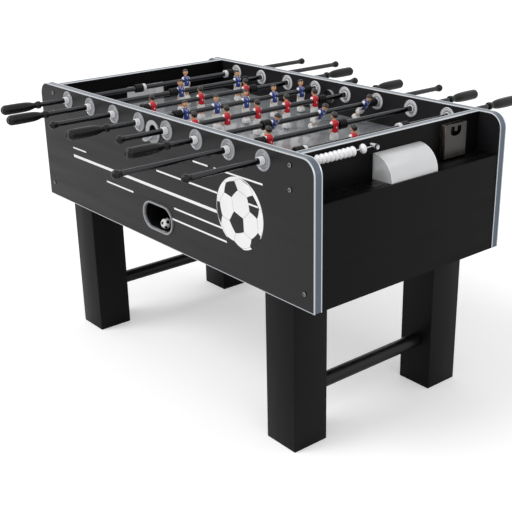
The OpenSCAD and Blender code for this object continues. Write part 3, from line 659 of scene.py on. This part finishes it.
def entry_mesh():
    """The ball entry on the front: dished ring, tube and lower scoop, about its own middle."""
    shape = Figure()
    ring = [(-38, 21), (-1, 21), (1.2, 22.4), (2.2, 26), (2.9, 31), (3.6, 32.4), (4, 33.8),
            (3.6, 35.4), (2.4, ENTRY_R), (0, ENTRY_R), (0, 24), (-38, 24)]
    steps = 64
    verts, faces, bands = [], [], []
    for along, radius in ring:
        for k in range(steps):
            a = 2 * math.pi * k / steps
            verts.append((radius * math.cos(a), -along, radius * math.sin(a)))
    for r in range(len(ring)):
        n = (r + 1) % len(ring)
        for k in range(steps):
            j = (k + 1) % steps
            faces.append([r * steps + k, r * steps + j, n * steps + j, n * steps + k])
            bands.append(1 if r in (0, len(ring) - 1) else 0)
    start = len(verts)
    half = 32
    for k in range(half + 1):
        a = math.pi + math.pi * k / half
        reach = 4 + 30 * max(0.0, -math.sin(a)) ** 0.55
        for radius, along in ((21, 0), (21, reach - 1), (21.7, reach), (23.3, reach), (24, reach - 1),
                              (24, 0)):
            verts.append((radius * math.cos(a), -along, radius * math.sin(a)))
    for k in range(half):
        for r in range(6):
            n = (r + 1) % 6
            faces.append([start + k * 6 + r, start + k * 6 + n, start + (k + 1) * 6 + n,
                          start + (k + 1) * 6 + r])
            bands.append(0)
    for k in (0, half):
        faces.append([start + k * 6 + r for r in range(6)])
        bands.append(0)
    shape.verts, shape.faces, shape.bands = verts, faces, bands
    return shape.mesh("entry_cup", [PALE_PLASTIC, CUP_PLASTIC], 30)


def make_entries():
    mesh = entry_mesh()
    z = low_high("ball_entry_cups")[1].z - ENTRY_R
    for name, side, turn in (("front", -1, Matrix()), ("rear", 1, Matrix.Rotation(math.pi, 4, "Z"))):
        piece("ball_entry_" + name, mesh, "root", (0, side * abs(FRONT_Y), z), turn,
              ["ball_entry_cups"] if side < 0 else ())


def obround_path(width, height, steps=20):
    """Points and outward ways round a long hole with round ends, in X and Z."""
    r, reach = height / 2, (width - height) / 2
    path = []
    for cx, start in ((reach, -90), (-reach, 90)):
        for k in range(steps + 1):
            a = math.radians(start + 180 * k / steps)
            way = Vector((math.cos(a), 0, math.sin(a)))
            path.append((Vector((cx, 0, 0)) + way * r, way))
    return path


def make_return_bezel():
    low, high = low_high("ball_return_cup")
    width, height = high.x - low.x, high.z - low.z
    z = (low.z + high.z) / 2
    section = [(0.3, 0), (0.3, 2.6), (-0.8, 4.1), (-2.4, 4.4), (-5.0, 4.3), (-6.6, 3.6), (-7.6, 2.2),
               (-7.6, -4), (-7.3, -4), (-7.0, 0)]
    path = obround_path(width, height)
    count = len(section)
    verts, faces = [], []
    for point, way in path:
        for out, rise in section:
            verts.append(point + way * out + Vector((0, FRONT_Y - rise, z)))
    for r in range(len(path)):
        n = (r + 1) % len(path)
        for k in range(count):
            j = (k + 1) % count
            faces.append([r * count + k, r * count + j, n * count + j, n * count + k])
    mesh = data_from("return_bezel", verts, faces, [SILVER_PLASTIC], crease=30)
    piece("return_bezel", mesh, "root")


# The screws' places: below the top edge, above the low edge, and in from the aprons' ends
SCREW_DROPS = (28, 94)
SCREW_RISE = 48
SCREW_IN = 35


def screw_mesh():
    return lathe("screw_cap", [
        (0, 6.7, 1), (1.2, 6.7, 1), (2.2, 6.0, 0), (2.7, 5.2, 0), (2.8, 4.2, 1), (1.6, 3.8, 1), (1.5, 0, 1),
    ], [CHROME, DARK_STEEL], axis=(0, -1, 0), steps=32, crease=30)


def make_screws():
    mesh = screw_mesh()
    end_x = (WALL_LOW.x + WALL_HIGH.x) / 2
    block_x = low_high("end_aprons")[1].x - SCREW_IN
    places = [(end_x, TRIM_HIGH.z - drop) for drop in SCREW_DROPS] + [(block_x, TRIM_LOW.z + SCREW_RISE)]
    for side, turn in ((-1, Matrix()), (1, Matrix.Rotation(math.pi, 4, "Z"))):
        for s in (-1, 1):
            for k, (x, z) in enumerate(places):
                label = f"{'front' if side < 0 else 'rear'}_{'left' if s < 0 else 'right'}_{k + 1}"
                piece("screw_" + label, mesh, "root", (s * x, side * abs(FRONT_Y), z), turn)


# ---------- rods ----------

def torso_x(z, y):
    """The shirt's front surface at a height and a place across."""
    for low, high in zip(TORSO, TORSO[1:]):
        if low[0] <= z <= high[0]:
            t = (z - low[0]) / (high[0] - low[0])
            hx = low[3] + (high[3] - low[3]) * t
            hy = low[4] + (high[4] - low[4]) * t
            return hx * max(0.0, 1 - abs(y / hy) ** 3) ** (1 / 3)
    return 0.0


TORSO = [
    (-20.5, 0, 0, 9.0, 10.8, 3), (-19.5, 0, 0, 9.8, 11.3, 3), (-12, 0, 0, 10.0, 10.8, 3),
    (-4, 0, 0, 10.8, 11.0, 3),
    (4, 0, 0, 11.3, 11.4, 3), (9, 0, 0, 10.8, 12.0, 3), (12.5, 0, 0, 9.6, 11.4, 3), (15, 0, 0, 7.8, 9, 3),
    (17, 0, 0, 5.8, 6.6, 3),
]


def man_mesh(name, shirt):
    """One player facing +X, about the rod's centre line."""
    man = Figure()
    man.loft(TORSO, 0, 28)
    # neck
    man.loft([(13, 0, 0, 5.2, 5.0, 2), (18, 0.3, 0, 4.6, 4.6, 2), (23, 0.8, 0, 4.8, 4.8, 2)], 1)
    for s in (-1, 1):
        # sleeve
        man.loft([
            (13.8, 0, s * 10.4, 2.6, 1.6, 2), (12, 0, s * 11.4, 4.9, 3.2, 2), (8, 0.2, s * 12.3, 5.9, 3.6,
                                                                               2.4),
            (0, 0.8, s * 12.7, 5.9, 3.3, 2.6), (-8, 1.8, s * 12.8, 5.5, 3.2, 2.6),
            (-13.5, 2.6, s * 12.8, 5.1, 3.1, 2.6),
            (-14.8, 2.8, s * 12.6, 4.2, 2.5, 2.2),
        ], 2, 20)
        # forearm and hand
        man.loft([(-13, 2.8, s * 12.6, 3.6, 2.4, 2), (-18, 3.6, s * 12.5, 3.3, 2.3, 2),
                  (-21, 4.2, s * 12.4, 3.4, 2.4, 2), (-23.5, 4.4, s * 12.3, 1.8, 1.3, 2)], 1, 14)
        # leg of the shorts
        man.loft([(-28, 0, s * 6.1, 9.2, 6.3, 3), (-36, 0, s * 6.3, 9.3, 6.2, 3),
                  (-41, 0, s * 6.4, 9.2, 6.1, 3),
                  (-42, 0, s * 6.4, 8.4, 5.4, 3)], 2, 20)
        # calf
        man.loft([(-41, 0, s * 5.6, 5.9, 4.4, 2.2), (-46, 0, s * 5.4, 5.5, 4.1, 2.2),
                  (-53, 0, s * 5.3, 5.2, 3.8, 2.2)], 1, 16)
        # sock
        man.loft([(-52.4, 0, s * 5.3, 5.7, 4.2, 2.2), (-53.4, 0, s * 5.3, 6.0, 4.5, 2.2),
                  (-56, 0, s * 5.2, 5.9, 4.4, 2.2),
                  (-60, 0, s * 5.2, 5.4, 4.0, 2.2)], 2, 16)
        # ear, eye and brow
        man.ball((0.4, s * 9.3, 30.2), (2.2, 1.2, 2.6), 1, 10)
        man.ball((9.0, s * 3.3, 31.8), (0.9, 1.3, 1.0), 4, 10)
        man.ball((8.9, s * 3.4, 34.3), (1.0, 1.9, 0.45), 3, 10)
    # waist of the shorts
    man.loft([(-17, 0, 0, 8.9, 11.6, 3), (-20, 0, 0, 9.3, 12.0, 3), (-29, 0, 0, 9.4, 12.3, 3),
              (-31, 0, 0, 9.2, 12.2, 3)], 2, 28)
    # foot block
    man.loft([
        (-56.8, 0.6, 0, 8.6, 10.3, 7), (-57.4, 0.8, 0, 9.2, 10.9, 7), (-62.5, 1.3, 0, 10.9, 11, 7),
        (-64, 1.5, 0, 11.3, 11, 7), (-69.4, 1.5, 0, 11.45, 11, 7), (-70, 1.5, 0, 11, 10.6, 7),
    ], 2, 28)
    # head, jaw, nose, mouth and hair
    man.ball((0.5, 0, 30.2), (9.6, 9.0, 11.0), 1, 28)
    man.ball((2.6, 0, 24.6), (5.6, 5.4, 4.2), 1, 16)
    man.ball((10.0, 0, 29.4), (1.5, 1.1, 1.9), 1, 12)
    man.ball((9.0, 0, 26.0), (0.7, 2.0, 0.5), 5, 10)
    man.ball((0, 0, 30.4), (10.8, 10.0, 11.5), 3, 36, keep=((-0.62, 0, 0.78), 0.6))
    man.ball((1.5, 0, 37.4), (8.6, 7.6, 4.2), 3, 20)
    collar = []
    for s in (-1, 1):
        line = [(s * (5.4 - 5.4 * k / 8), 16.6 - 8.8 * k / 8) for k in range(9)]
        for (y0, z0), (y1, z1) in zip(line, line[1:]):
            collar.append([(torso_x(z0, y0) + 0.3, y0, z0), (torso_x(z1, y1) + 0.3, y1, z1),
                           (torso_x(z1 - 2.2, y1) + 0.35, y1, z1 - 2.2), (torso_x(z0 - 2.2, y0) + 0.35, y0,
                                                                          z0 - 2.2)])
    for quad in collar:
        back = [(x - 0.8, y, z) for x, y, z in quad]
        man.add(quad + back, [[0, 1, 2, 3], [4, 5, 6, 7], [0, 1, 5, 4], [2, 3, 7, 6], [0, 3, 7, 4],
                              [1, 2, 6, 5]], 2)
    for front in (1, -1):
        x = front * (torso_x(-4, 0) + 0.15)
        mark = [(0, -0.4), (2.3, -3.4), (0, -7.4), (-2.3, -4.4)]
        man.add([(x + dx, y, z) for dx in (-0.9 * front, 0.35 * front) for y, z in mark],
                [[0, 1, 2, 3], [4, 5, 6, 7], [0, 1, 5, 4], [1, 2, 6, 5], [2, 3, 7, 6], [3, 0, 4, 7]], 2)
    return man.mesh(name, [shirt, SKIN, KIT_WHITE, HAIR, PRINT_BLACK, SHIRT_RED])


GRIP_LINE = [
    (14.5, 9.9), (19, 9.4), (24, 9.8), (32, 12.2), (42, 14.3), (55, 15.6), (74, 16.3), (96, 16.5),
    (118, 16.4),
]


def grip_mesh():
    profile = [(112, BORE_R), (0, BORE_R), (0, 10.8), (0.8, 12), (2, 12.5), (10.5, 12.5), (12, 12),
               (12.8, 10.6)]
    profile += rounded(GRIP_LINE)
    profile += [(121, 16.3), (121.6, 15.9), (122.6, 15.9), (123.2, 16.2), (128, 16.0), (130.5, 15.2),
                (135.5, 11.6),
                (137.2, 10.2), (138, 8.8), (137.2, 7.4), (136.8, 0)]
    return lathe("grip", profile, [GRIP_BLACK], axis=(0, 1, 0), steps=56, crease=28)


def cap_mesh():
    r = 12.5
    profile = [(CAP_L - 8, BORE_R), (0, BORE_R), (0, 8.8), (0.8, 9.6), (6, 9.7), (7.4, 10.6)]
    profile += [(CAP_L - r + r * math.sin(a), r * math.cos(a))
                for a in [math.radians(-35 + 125 * k / 14) for k in range(14)]] + [(CAP_L, 0)]
    return lathe("tail_cap", profile, [GRIP_BLACK], axis=(0, 1, 0), steps=48)


def bumper_mesh():
    """A ribbed rubber bumper along +Y from its own start."""
    ribs = 4
    rib = BUMPER_L / (2 * ribs - 1)
    profile = [(BUMPER_L, BORE_R), (0, BORE_R)]
    for k in range(ribs):
        start = 2 * k * rib
        profile += [(start, 13.4), (start + 0.7, 14.7), (start + rib / 2, 15), (start + rib - 0.7, 14.7),
                    (start + rib, 13.4)]
        if k < ribs - 1:
            profile += [(start + rib + 0.5, 11), (start + 2 * rib - 0.5, 11)]
    profile += [(BUMPER_L, BORE_R)]
    return lathe("bumper", profile, [RUBBER], axis=(0, 1, 0), steps=48, crease=30)


def collar_mesh():
    return lathe("collar", [(COLLAR_L, BORE_R), (0, BORE_R), (0, 12.6), (1.2, 13.8), (COLLAR_L - 1.2, 13.8),
                            (COLLAR_L, 12.6), (COLLAR_L, BORE_R)], [WHITE_PLASTIC], axis=(0, 1, 0),
                            crease=30)


def make_rods():
    men = {True: man_mesh("man_blue", SHIRT_BLUE), False: man_mesh("man_red", SHIRT_RED)}
    grip, cap, bumper, collar = grip_mesh(), cap_mesh(), bumper_mesh(), collar_mesh()
    half_turn = Matrix.Rotation(math.pi, 4, "Z")
    for k in range(8):
        rod = f"rod_{k + 1}"
        x = middle(rod + "_shaft").x
        dress(ROD_CHROME_DARKENED, rod + "_shaft")
        low, high = low_high(rod + "_players")
        first, last = low.y + MAN_HALF, high.y - MAN_HALF
        count = PLAYERS_ON[k]
        facing = Matrix() if BLUE_TEAM[k] else half_turn
        turn = Matrix.Rotation(math.radians(LEAN[k]), 4, "Y") @ facing
        for j in range(count):
            y = (first + last) / 2 if count == 1 else first + (last - first) * j / (count - 1)
            piece(f"{rod}_man_{j + 1}", men[BLUE_TEAM[k]], rod,
                  (x, y, ROD_Z), turn, [rod + "_players"] if j == 0 else ())
        low, high = low_high(rod + "_grip")
        side = GRIP_SIDE[k]
        grip_start = high.y - GRIP_L if side > 0 else low.y + GRIP_L
        cap_start = low.y + CAP_L if side > 0 else high.y - CAP_L
        piece(rod + "_handle", grip, rod, (x, grip_start, ROD_Z),
              Matrix() if side > 0 else half_turn, [rod + "_grip"])
        piece(rod + "_end_cap", cap, rod, (x, cap_start, ROD_Z),
              half_turn if side > 0 else Matrix())
        low, high = low_high(rod + "_bumpers")
        for name, y, flip in (("front", low.y, Matrix()), ("rear", high.y, half_turn)):
            piece(f"{rod}_bumper_{name}", bumper, rod + "_bumpers", (x, y, ROD_Z), flip,
                  [rod + "_bumpers"] if name == "front" else ())
            if count == 1:
                inward = 1 if name == "front" else -1
                start = y + inward * (BUMPER_L + 0.3)
                piece(f"{rod}_collar_{name}", collar, rod + "_bumpers", (x, start, ROD_Z),
                      flip)


# ---------- end fittings ----------

BEAD_W = 15.4
POST_R = 8
POST_INNER_Y = 112


def bead_mesh():
    r, bore = 13.5, 2.15
    w = BEAD_W
    return lathe("bead", [
        (0, bore), (0, 5.6), (0.8, 7.0), (3.2, 10.2), (5.6, 12.6), (w / 2 - 0.8, r - 0.1), (w / 2, r),
        (w / 2 + 0.8, r - 0.1), (w - 5.6, 12.6), (w - 3.2, 10.2), (w - 0.8, 7.0), (w, 5.6), (w, bore),
        (0, bore),
    ], [BEAD_PLASTIC], axis=(0, 1, 0), steps=40, crease=40)


def make_beads():
    mesh = bead_mesh()
    for body, count in (("beads_right_stack", 9), ("beads_right_single", 1), ("beads_left", 10)):
        low, high = low_high(body)
        x, z = (low.x + high.x) / 2, (low.z + high.z) / 2
        for k in range(count):
            y = low.y + (high.y - low.y - BEAD_W) * (k / (count - 1) if count > 1 else 0)
            piece(f"{body}_{k + 1}", mesh, body, (x, y, z), None, [body] if k == 0 else ())


def make_rails():
    low, high = low_high("score_rails")
    wall = WALL_HIGH.x
    reach = high.x - wall
    z = (low.z + high.z) / 2
    post = lathe("rail_post", [
        (0, POST_R, 0), (reach - 6.5, POST_R, 0), (reach - 6, 7.6, 1), (reach - 5.4, POST_R, 1),
        (reach - 1.2, POST_R, 1), (reach - 0.2, 7.2, 1),
        (reach, 6.2, 0), (reach - 0.4, 5.4, 0), (reach - 0.9, 4.8, 0), (reach - 0.5, 0, 0),
    ], [CHROME, RUBBER], axis=(1, 0, 0), steps=40, crease=30)
    rail_x = middle("beads_right_stack").x
    outer, inner = abs(low.y) - POST_R, POST_INNER_Y
    wire = lathe("rail_wire", [(-outer - 3.8, 0), (-outer - 3.8, 2), (-inner + 3.8, 2), (-inner + 3.8, 0)],
                 [CHROME], axis=(0, 1, 0), steps=20)
    for name, s, turn in (("right", 1, Matrix()), ("left", -1, Matrix.Rotation(math.pi, 4, "Z"))):
        piece(f"rail_post_outer_{name}", post, "root", (s * wall, -s * outer, z), turn,
              ["score_rails"] if s > 0 else ())
        piece(f"rail_post_inner_{name}", post, "root", (s * wall, -s * inner, z), turn)
        piece(f"rail_wire_{name}", wire, "root", (s * rail_x, 0, z), turn)


WINDOW_EDGE_W, WINDOW_EDGE_DEEP = 2.2, 2.4
WINDOW_STEPS = 16


def make_window_edges():
    """Opaque white strips along the clear goal windows' polished edges, painted as the highlight those
    edges catch.
    """
    low, high = low_high("goal_windows")
    wall = WALL_HIGH.x
    radius, half, z = high.z - low.z, high.y, low.z
    for name, s, turn in (("right", 1, Matrix()), ("left", -1, Matrix.Rotation(math.pi, 4, "Z"))):
        shape = Figure()
        for y in (-half, half - WINDOW_EDGE_W):
            outline = []
            for k in range(WINDOW_STEPS + 1):
                a = math.pi / 2 * k / WINDOW_STEPS
                outline.append((math.cos(a), math.sin(a)))
            verts = []
            for c, v in outline:
                for r in (radius - WINDOW_EDGE_DEEP, radius):
                    verts += [(r * c, y, r * v), (r * c, y + WINDOW_EDGE_W, r * v)]
            faces = []
            for k in range(WINDOW_STEPS):
                a, b = 4 * k, 4 * (k + 1)
                faces += [[a, a + 1, b + 1, b], [a + 2, a + 3, b + 3, b + 2],
                          [a, a + 2, b + 2, b], [a + 1, a + 3, b + 3, b + 1]]
            end = 4 * WINDOW_STEPS
            faces += [[0, 1, 3, 2], [end, end + 1, end + 3, end + 2]]
            shape.add(verts, faces, 0)
        piece(f"goal_window_edge_{name}", shape.mesh("window_glint_strip", [WINDOW_GLINT]), "root",
              (s * wall, 0, z), turn)


def make_opener():
    """The steel cap box with the opener's claw cut in its front."""
    low, high = low_high("bottle_opener")
    mid_y = (low.y + high.y) / 2
    half, t = (high.y - low.y) / 2, 2
    claw_top, claw_low, claw_half, tongue = high.z - 7, high.z - 36, 23, 6
    outer = [(mid_y + s * (half - 0.2), z) for s, z in ((-1, low.z), (1, low.z), (1, high.z), (-1, high.z))]
    hole = []
    for k in range(9):
        a = math.pi + math.pi * k / 8
        hole.append((mid_y + claw_half * math.cos(a), claw_low + 12 + 12 * math.sin(a)))
    hole += [(mid_y + claw_half, claw_top), (mid_y + tongue, claw_top), (mid_y + tongue, claw_low + 15),
             (mid_y - tongue, claw_low + 15), (mid_y - tongue, claw_top), (mid_y - claw_half, claw_top)]
    curve = bpy.data.curves.new("opener_plate", "CURVE")
    curve.dimensions = "2D"
    curve.fill_mode = "BOTH"
    curve.extrude = (t / 2 - 0.35) * MM
    curve.bevel_depth = 0.35 * MM
    curve.bevel_resolution = 2
    for outline in (outer, hole):
        spline = curve.splines.new("POLY")
        spline.points.add(len(outline) - 1)
        for point, (y, z) in zip(spline.points, outline):
            point.co = (y * MM, z * MM, 0, 1)
        spline.use_cyclic_u = True
    holder = bpy.data.objects.new("opener_curve", curve)
    plate = bpy.data.meshes.new_from_object(holder)
    bpy.data.objects.remove(holder)
    plate.transform(Matrix(((0, 0, 1, 0), (1, 0, 0, 0), (0, 1, 0, 0), (0, 0, 0, 1))))
    plate.materials.clear()
    plate.materials.append(STEEL)
    piece("opener_front", plate, "root", (high.x - t / 2, 0, 0), None, ["bottle_opener"])
    walls = {
        "left": ((low.x, low.y, low.z), (high.x - t, low.y + t, high.z)),
        "right": ((low.x, high.y - t, low.z), (high.x - t, high.y, high.z)),
        "bottom": ((low.x, low.y + t, low.z), (high.x - t, high.y - t, low.z + t)),
        "back": ((low.x, low.y + t, low.z + t), (low.x + t, high.y - t, high.z)),
    }
    for name, (a, b) in walls.items():
        # The left wall takes the lighter copy of the steel as a painted highlight
        finish = LIT_SIDE_STEEL if name == "left" else STEEL
        piece("opener_" + name, block("opener_" + name, a, b, finish, 0.35), "root")


# The dark patches stand this much proud of the ball
PATCH_PROUD = 0.08


def make_ball():
    low, high = low_high("ball")
    centre, r = (low + high) / 2, (high.x - low.x) / 2
    turn = Matrix.Rotation(math.radians(40), 3, "X") @ Matrix.Rotation(math.radians(12), 3, "Z")
    patches, _ = football(turn)
    ball = Figure()
    ball.ball((0, 0, 0), (r - PATCH_PROUD,) * 3, 0, 40)
    for mid_point, corners in patches:
        rim = []
        for k, corner in enumerate(corners):
            rim += arc_points(corner, corners[(k + 1) % 5], 4)[:-1]
        inner = [((mid_point + (p - mid_point) * 0.5).normalized()) for p in rim]
        verts = [p * r for p in rim] + [p * r for p in inner] + [mid_point * r]
        n = len(rim)
        faces = [[k, (k + 1) % n, n + (k + 1) % n, n + k] for k in range(n)]
        faces += [[n + k, n + (k + 1) % n, 2 * n] for k in range(n)]
        ball.add(verts, faces, 1)
    piece("game_ball", ball.mesh("game_ball", [BALL_WHITE, PRINT_BLACK], 60), "ball", centre,
          None, ["ball"])


# ---------- stage, light and camera ----------

# The camera's place in millimetres and its angles in degrees
CAMERA_AT = (2387.01, -1897.27, 1535.18)
CAMERA_AZIMUTH, CAMERA_ELEVATION, CAMERA_ROLL = 51.35, 21.37, -1.24
SENSOR_MM = 36
LENS_MM = 66.6
SHIFT = (-0.0016, 0.0025)
FLOOR_REACH_M = 60
FLOOR_GLOW = 0.34
ROOM_LIGHT = 0.66


def make_camera():
    data = bpy.data.cameras.new("camera")
    data.sensor_width = SENSOR_MM
    data.lens = LENS_MM
    data.shift_x, data.shift_y = SHIFT
    data.clip_end = 100
    camera = bpy.data.objects.new("camera", data)
    bpy.context.scene.collection.objects.link(camera)
    az, el, roll = (math.radians(a) for a in (CAMERA_AZIMUTH, CAMERA_ELEVATION, CAMERA_ROLL))
    back = Vector((math.sin(az) * math.cos(el), -math.cos(az) * math.cos(el), math.sin(el)))
    right = (-back).cross(Vector((0, 0, 1))).normalized()
    up = back.cross(right)
    right, up = (right * math.cos(roll) + up * math.sin(roll), up * math.cos(roll) - right * math.sin(roll))
    turn = Matrix((right, up, back)).transposed().to_4x4()
    camera.matrix_world = Matrix.Translation(Vector(CAMERA_AT) * MM) @ turn
    bpy.context.scene.camera = camera


def make_floor():
    mesh = bpy.data.meshes.new("floor")
    reach = FLOOR_REACH_M
    mesh.from_pydata([(-reach, -reach, 0), (reach, -reach, 0), (reach, reach, 0), (-reach, reach, 0)], [],
                     [(0, 1, 2, 3)])
    floor = bpy.data.objects.new("floor", mesh)
    bpy.context.scene.collection.objects.link(floor)
    material = bpy.data.materials.new("floor_white")
    material.use_nodes = True
    nodes, links = material.node_tree.nodes, material.node_tree.links
    nodes.clear()
    out = nodes.new("ShaderNodeOutputMaterial")
    paint = nodes.new("ShaderNodeBsdfDiffuse")
    paint.inputs["Color"].default_value = (0.86, 0.86, 0.86, 1)
    glow = nodes.new("ShaderNodeEmission")
    path = nodes.new("ShaderNodeLightPath")
    share = nodes.new("ShaderNodeMath")
    share.operation = "MULTIPLY"
    share.inputs[1].default_value = FLOOR_GLOW
    links.new(path.outputs["Is Camera Ray"], share.inputs[0])
    links.new(share.outputs["Value"], glow.inputs["Strength"])
    both = nodes.new("ShaderNodeAddShader")
    links.new(paint.outputs["BSDF"], both.inputs[0])
    links.new(glow.outputs["Emission"], both.inputs[1])
    links.new(both.outputs["Shader"], out.inputs["Surface"])
    mesh.materials.append(material)


def make_world():
    world = bpy.data.worlds.new("studio")
    bpy.context.scene.world = world
    world.use_nodes = True
    nodes, links = world.node_tree.nodes, world.node_tree.links
    back = nodes["Background"]
    back.inputs["Color"].default_value = (1, 1, 1, 1)
    path = nodes.new("ShaderNodeLightPath")
    seen = nodes.new("ShaderNodeMath")
    seen.operation = "MAXIMUM"
    links.new(path.outputs["Is Camera Ray"], seen.inputs[0])
    links.new(path.outputs["Is Transmission Ray"], seen.inputs[1])
    strength = nodes.new("ShaderNodeMapRange")
    strength.inputs["To Min"].default_value = ROOM_LIGHT
    strength.inputs["To Max"].default_value = 1.0
    shiny = nodes.new("ShaderNodeMath")
    shiny.operation = "MAXIMUM"
    links.new(seen.outputs["Value"], shiny.inputs[0])
    links.new(path.outputs["Is Glossy Ray"], shiny.inputs[1])
    links.new(shiny.outputs["Value"], strength.inputs["Value"])
    links.new(strength.outputs["Result"], back.inputs["Strength"])


def make_lamp(name, way, strength, angle):
    data = bpy.data.lights.new(name, "SUN")
    data.energy = strength
    data.angle = math.radians(angle)
    lamp = bpy.data.objects.new(name, data)
    bpy.context.scene.collection.objects.link(lamp)
    lamp.rotation_euler = Vector(way).to_track_quat("Z", "Y").to_euler()


# ---------- the whole table ----------

dress(BOARD, "side_panel_front", "side_panel_rear")
dress(SHADED_END_BOARD, "end_wall_left", "end_wall_right", "end_aprons")
dress(SHELF_BOARD, "end_shelves")
dress(FIELD, "playfield")
dress(RAW_BOARD, "inner_frame")
dress(FLOOR_BOARD, "cabinet_floor")
dress(BLACK_METAL, "leg_ties")
dress(PALE_PLASTIC, "ball_runways")
dress(CUP_PLASTIC, "ball_return_cup")
dress(WINDOW, "goal_windows")
dress(STEEL, "fasteners")
make_trims()
make_legs()
make_prints()
make_field_marks()
make_bearings()
make_entries()
make_return_bezel()
make_screws()
make_rods()
make_beads()
make_rails()
make_window_edges()
make_opener()
make_ball()
make_floor()
make_world()
make_lamp("key", (-0.35, -0.75, 0.9), 1.15, 30)
make_lamp("fill", (0.9, -0.2, 0.6), 0.35, 40)
make_camera()
bpy.context.scene.view_settings.view_transform = "Standard"
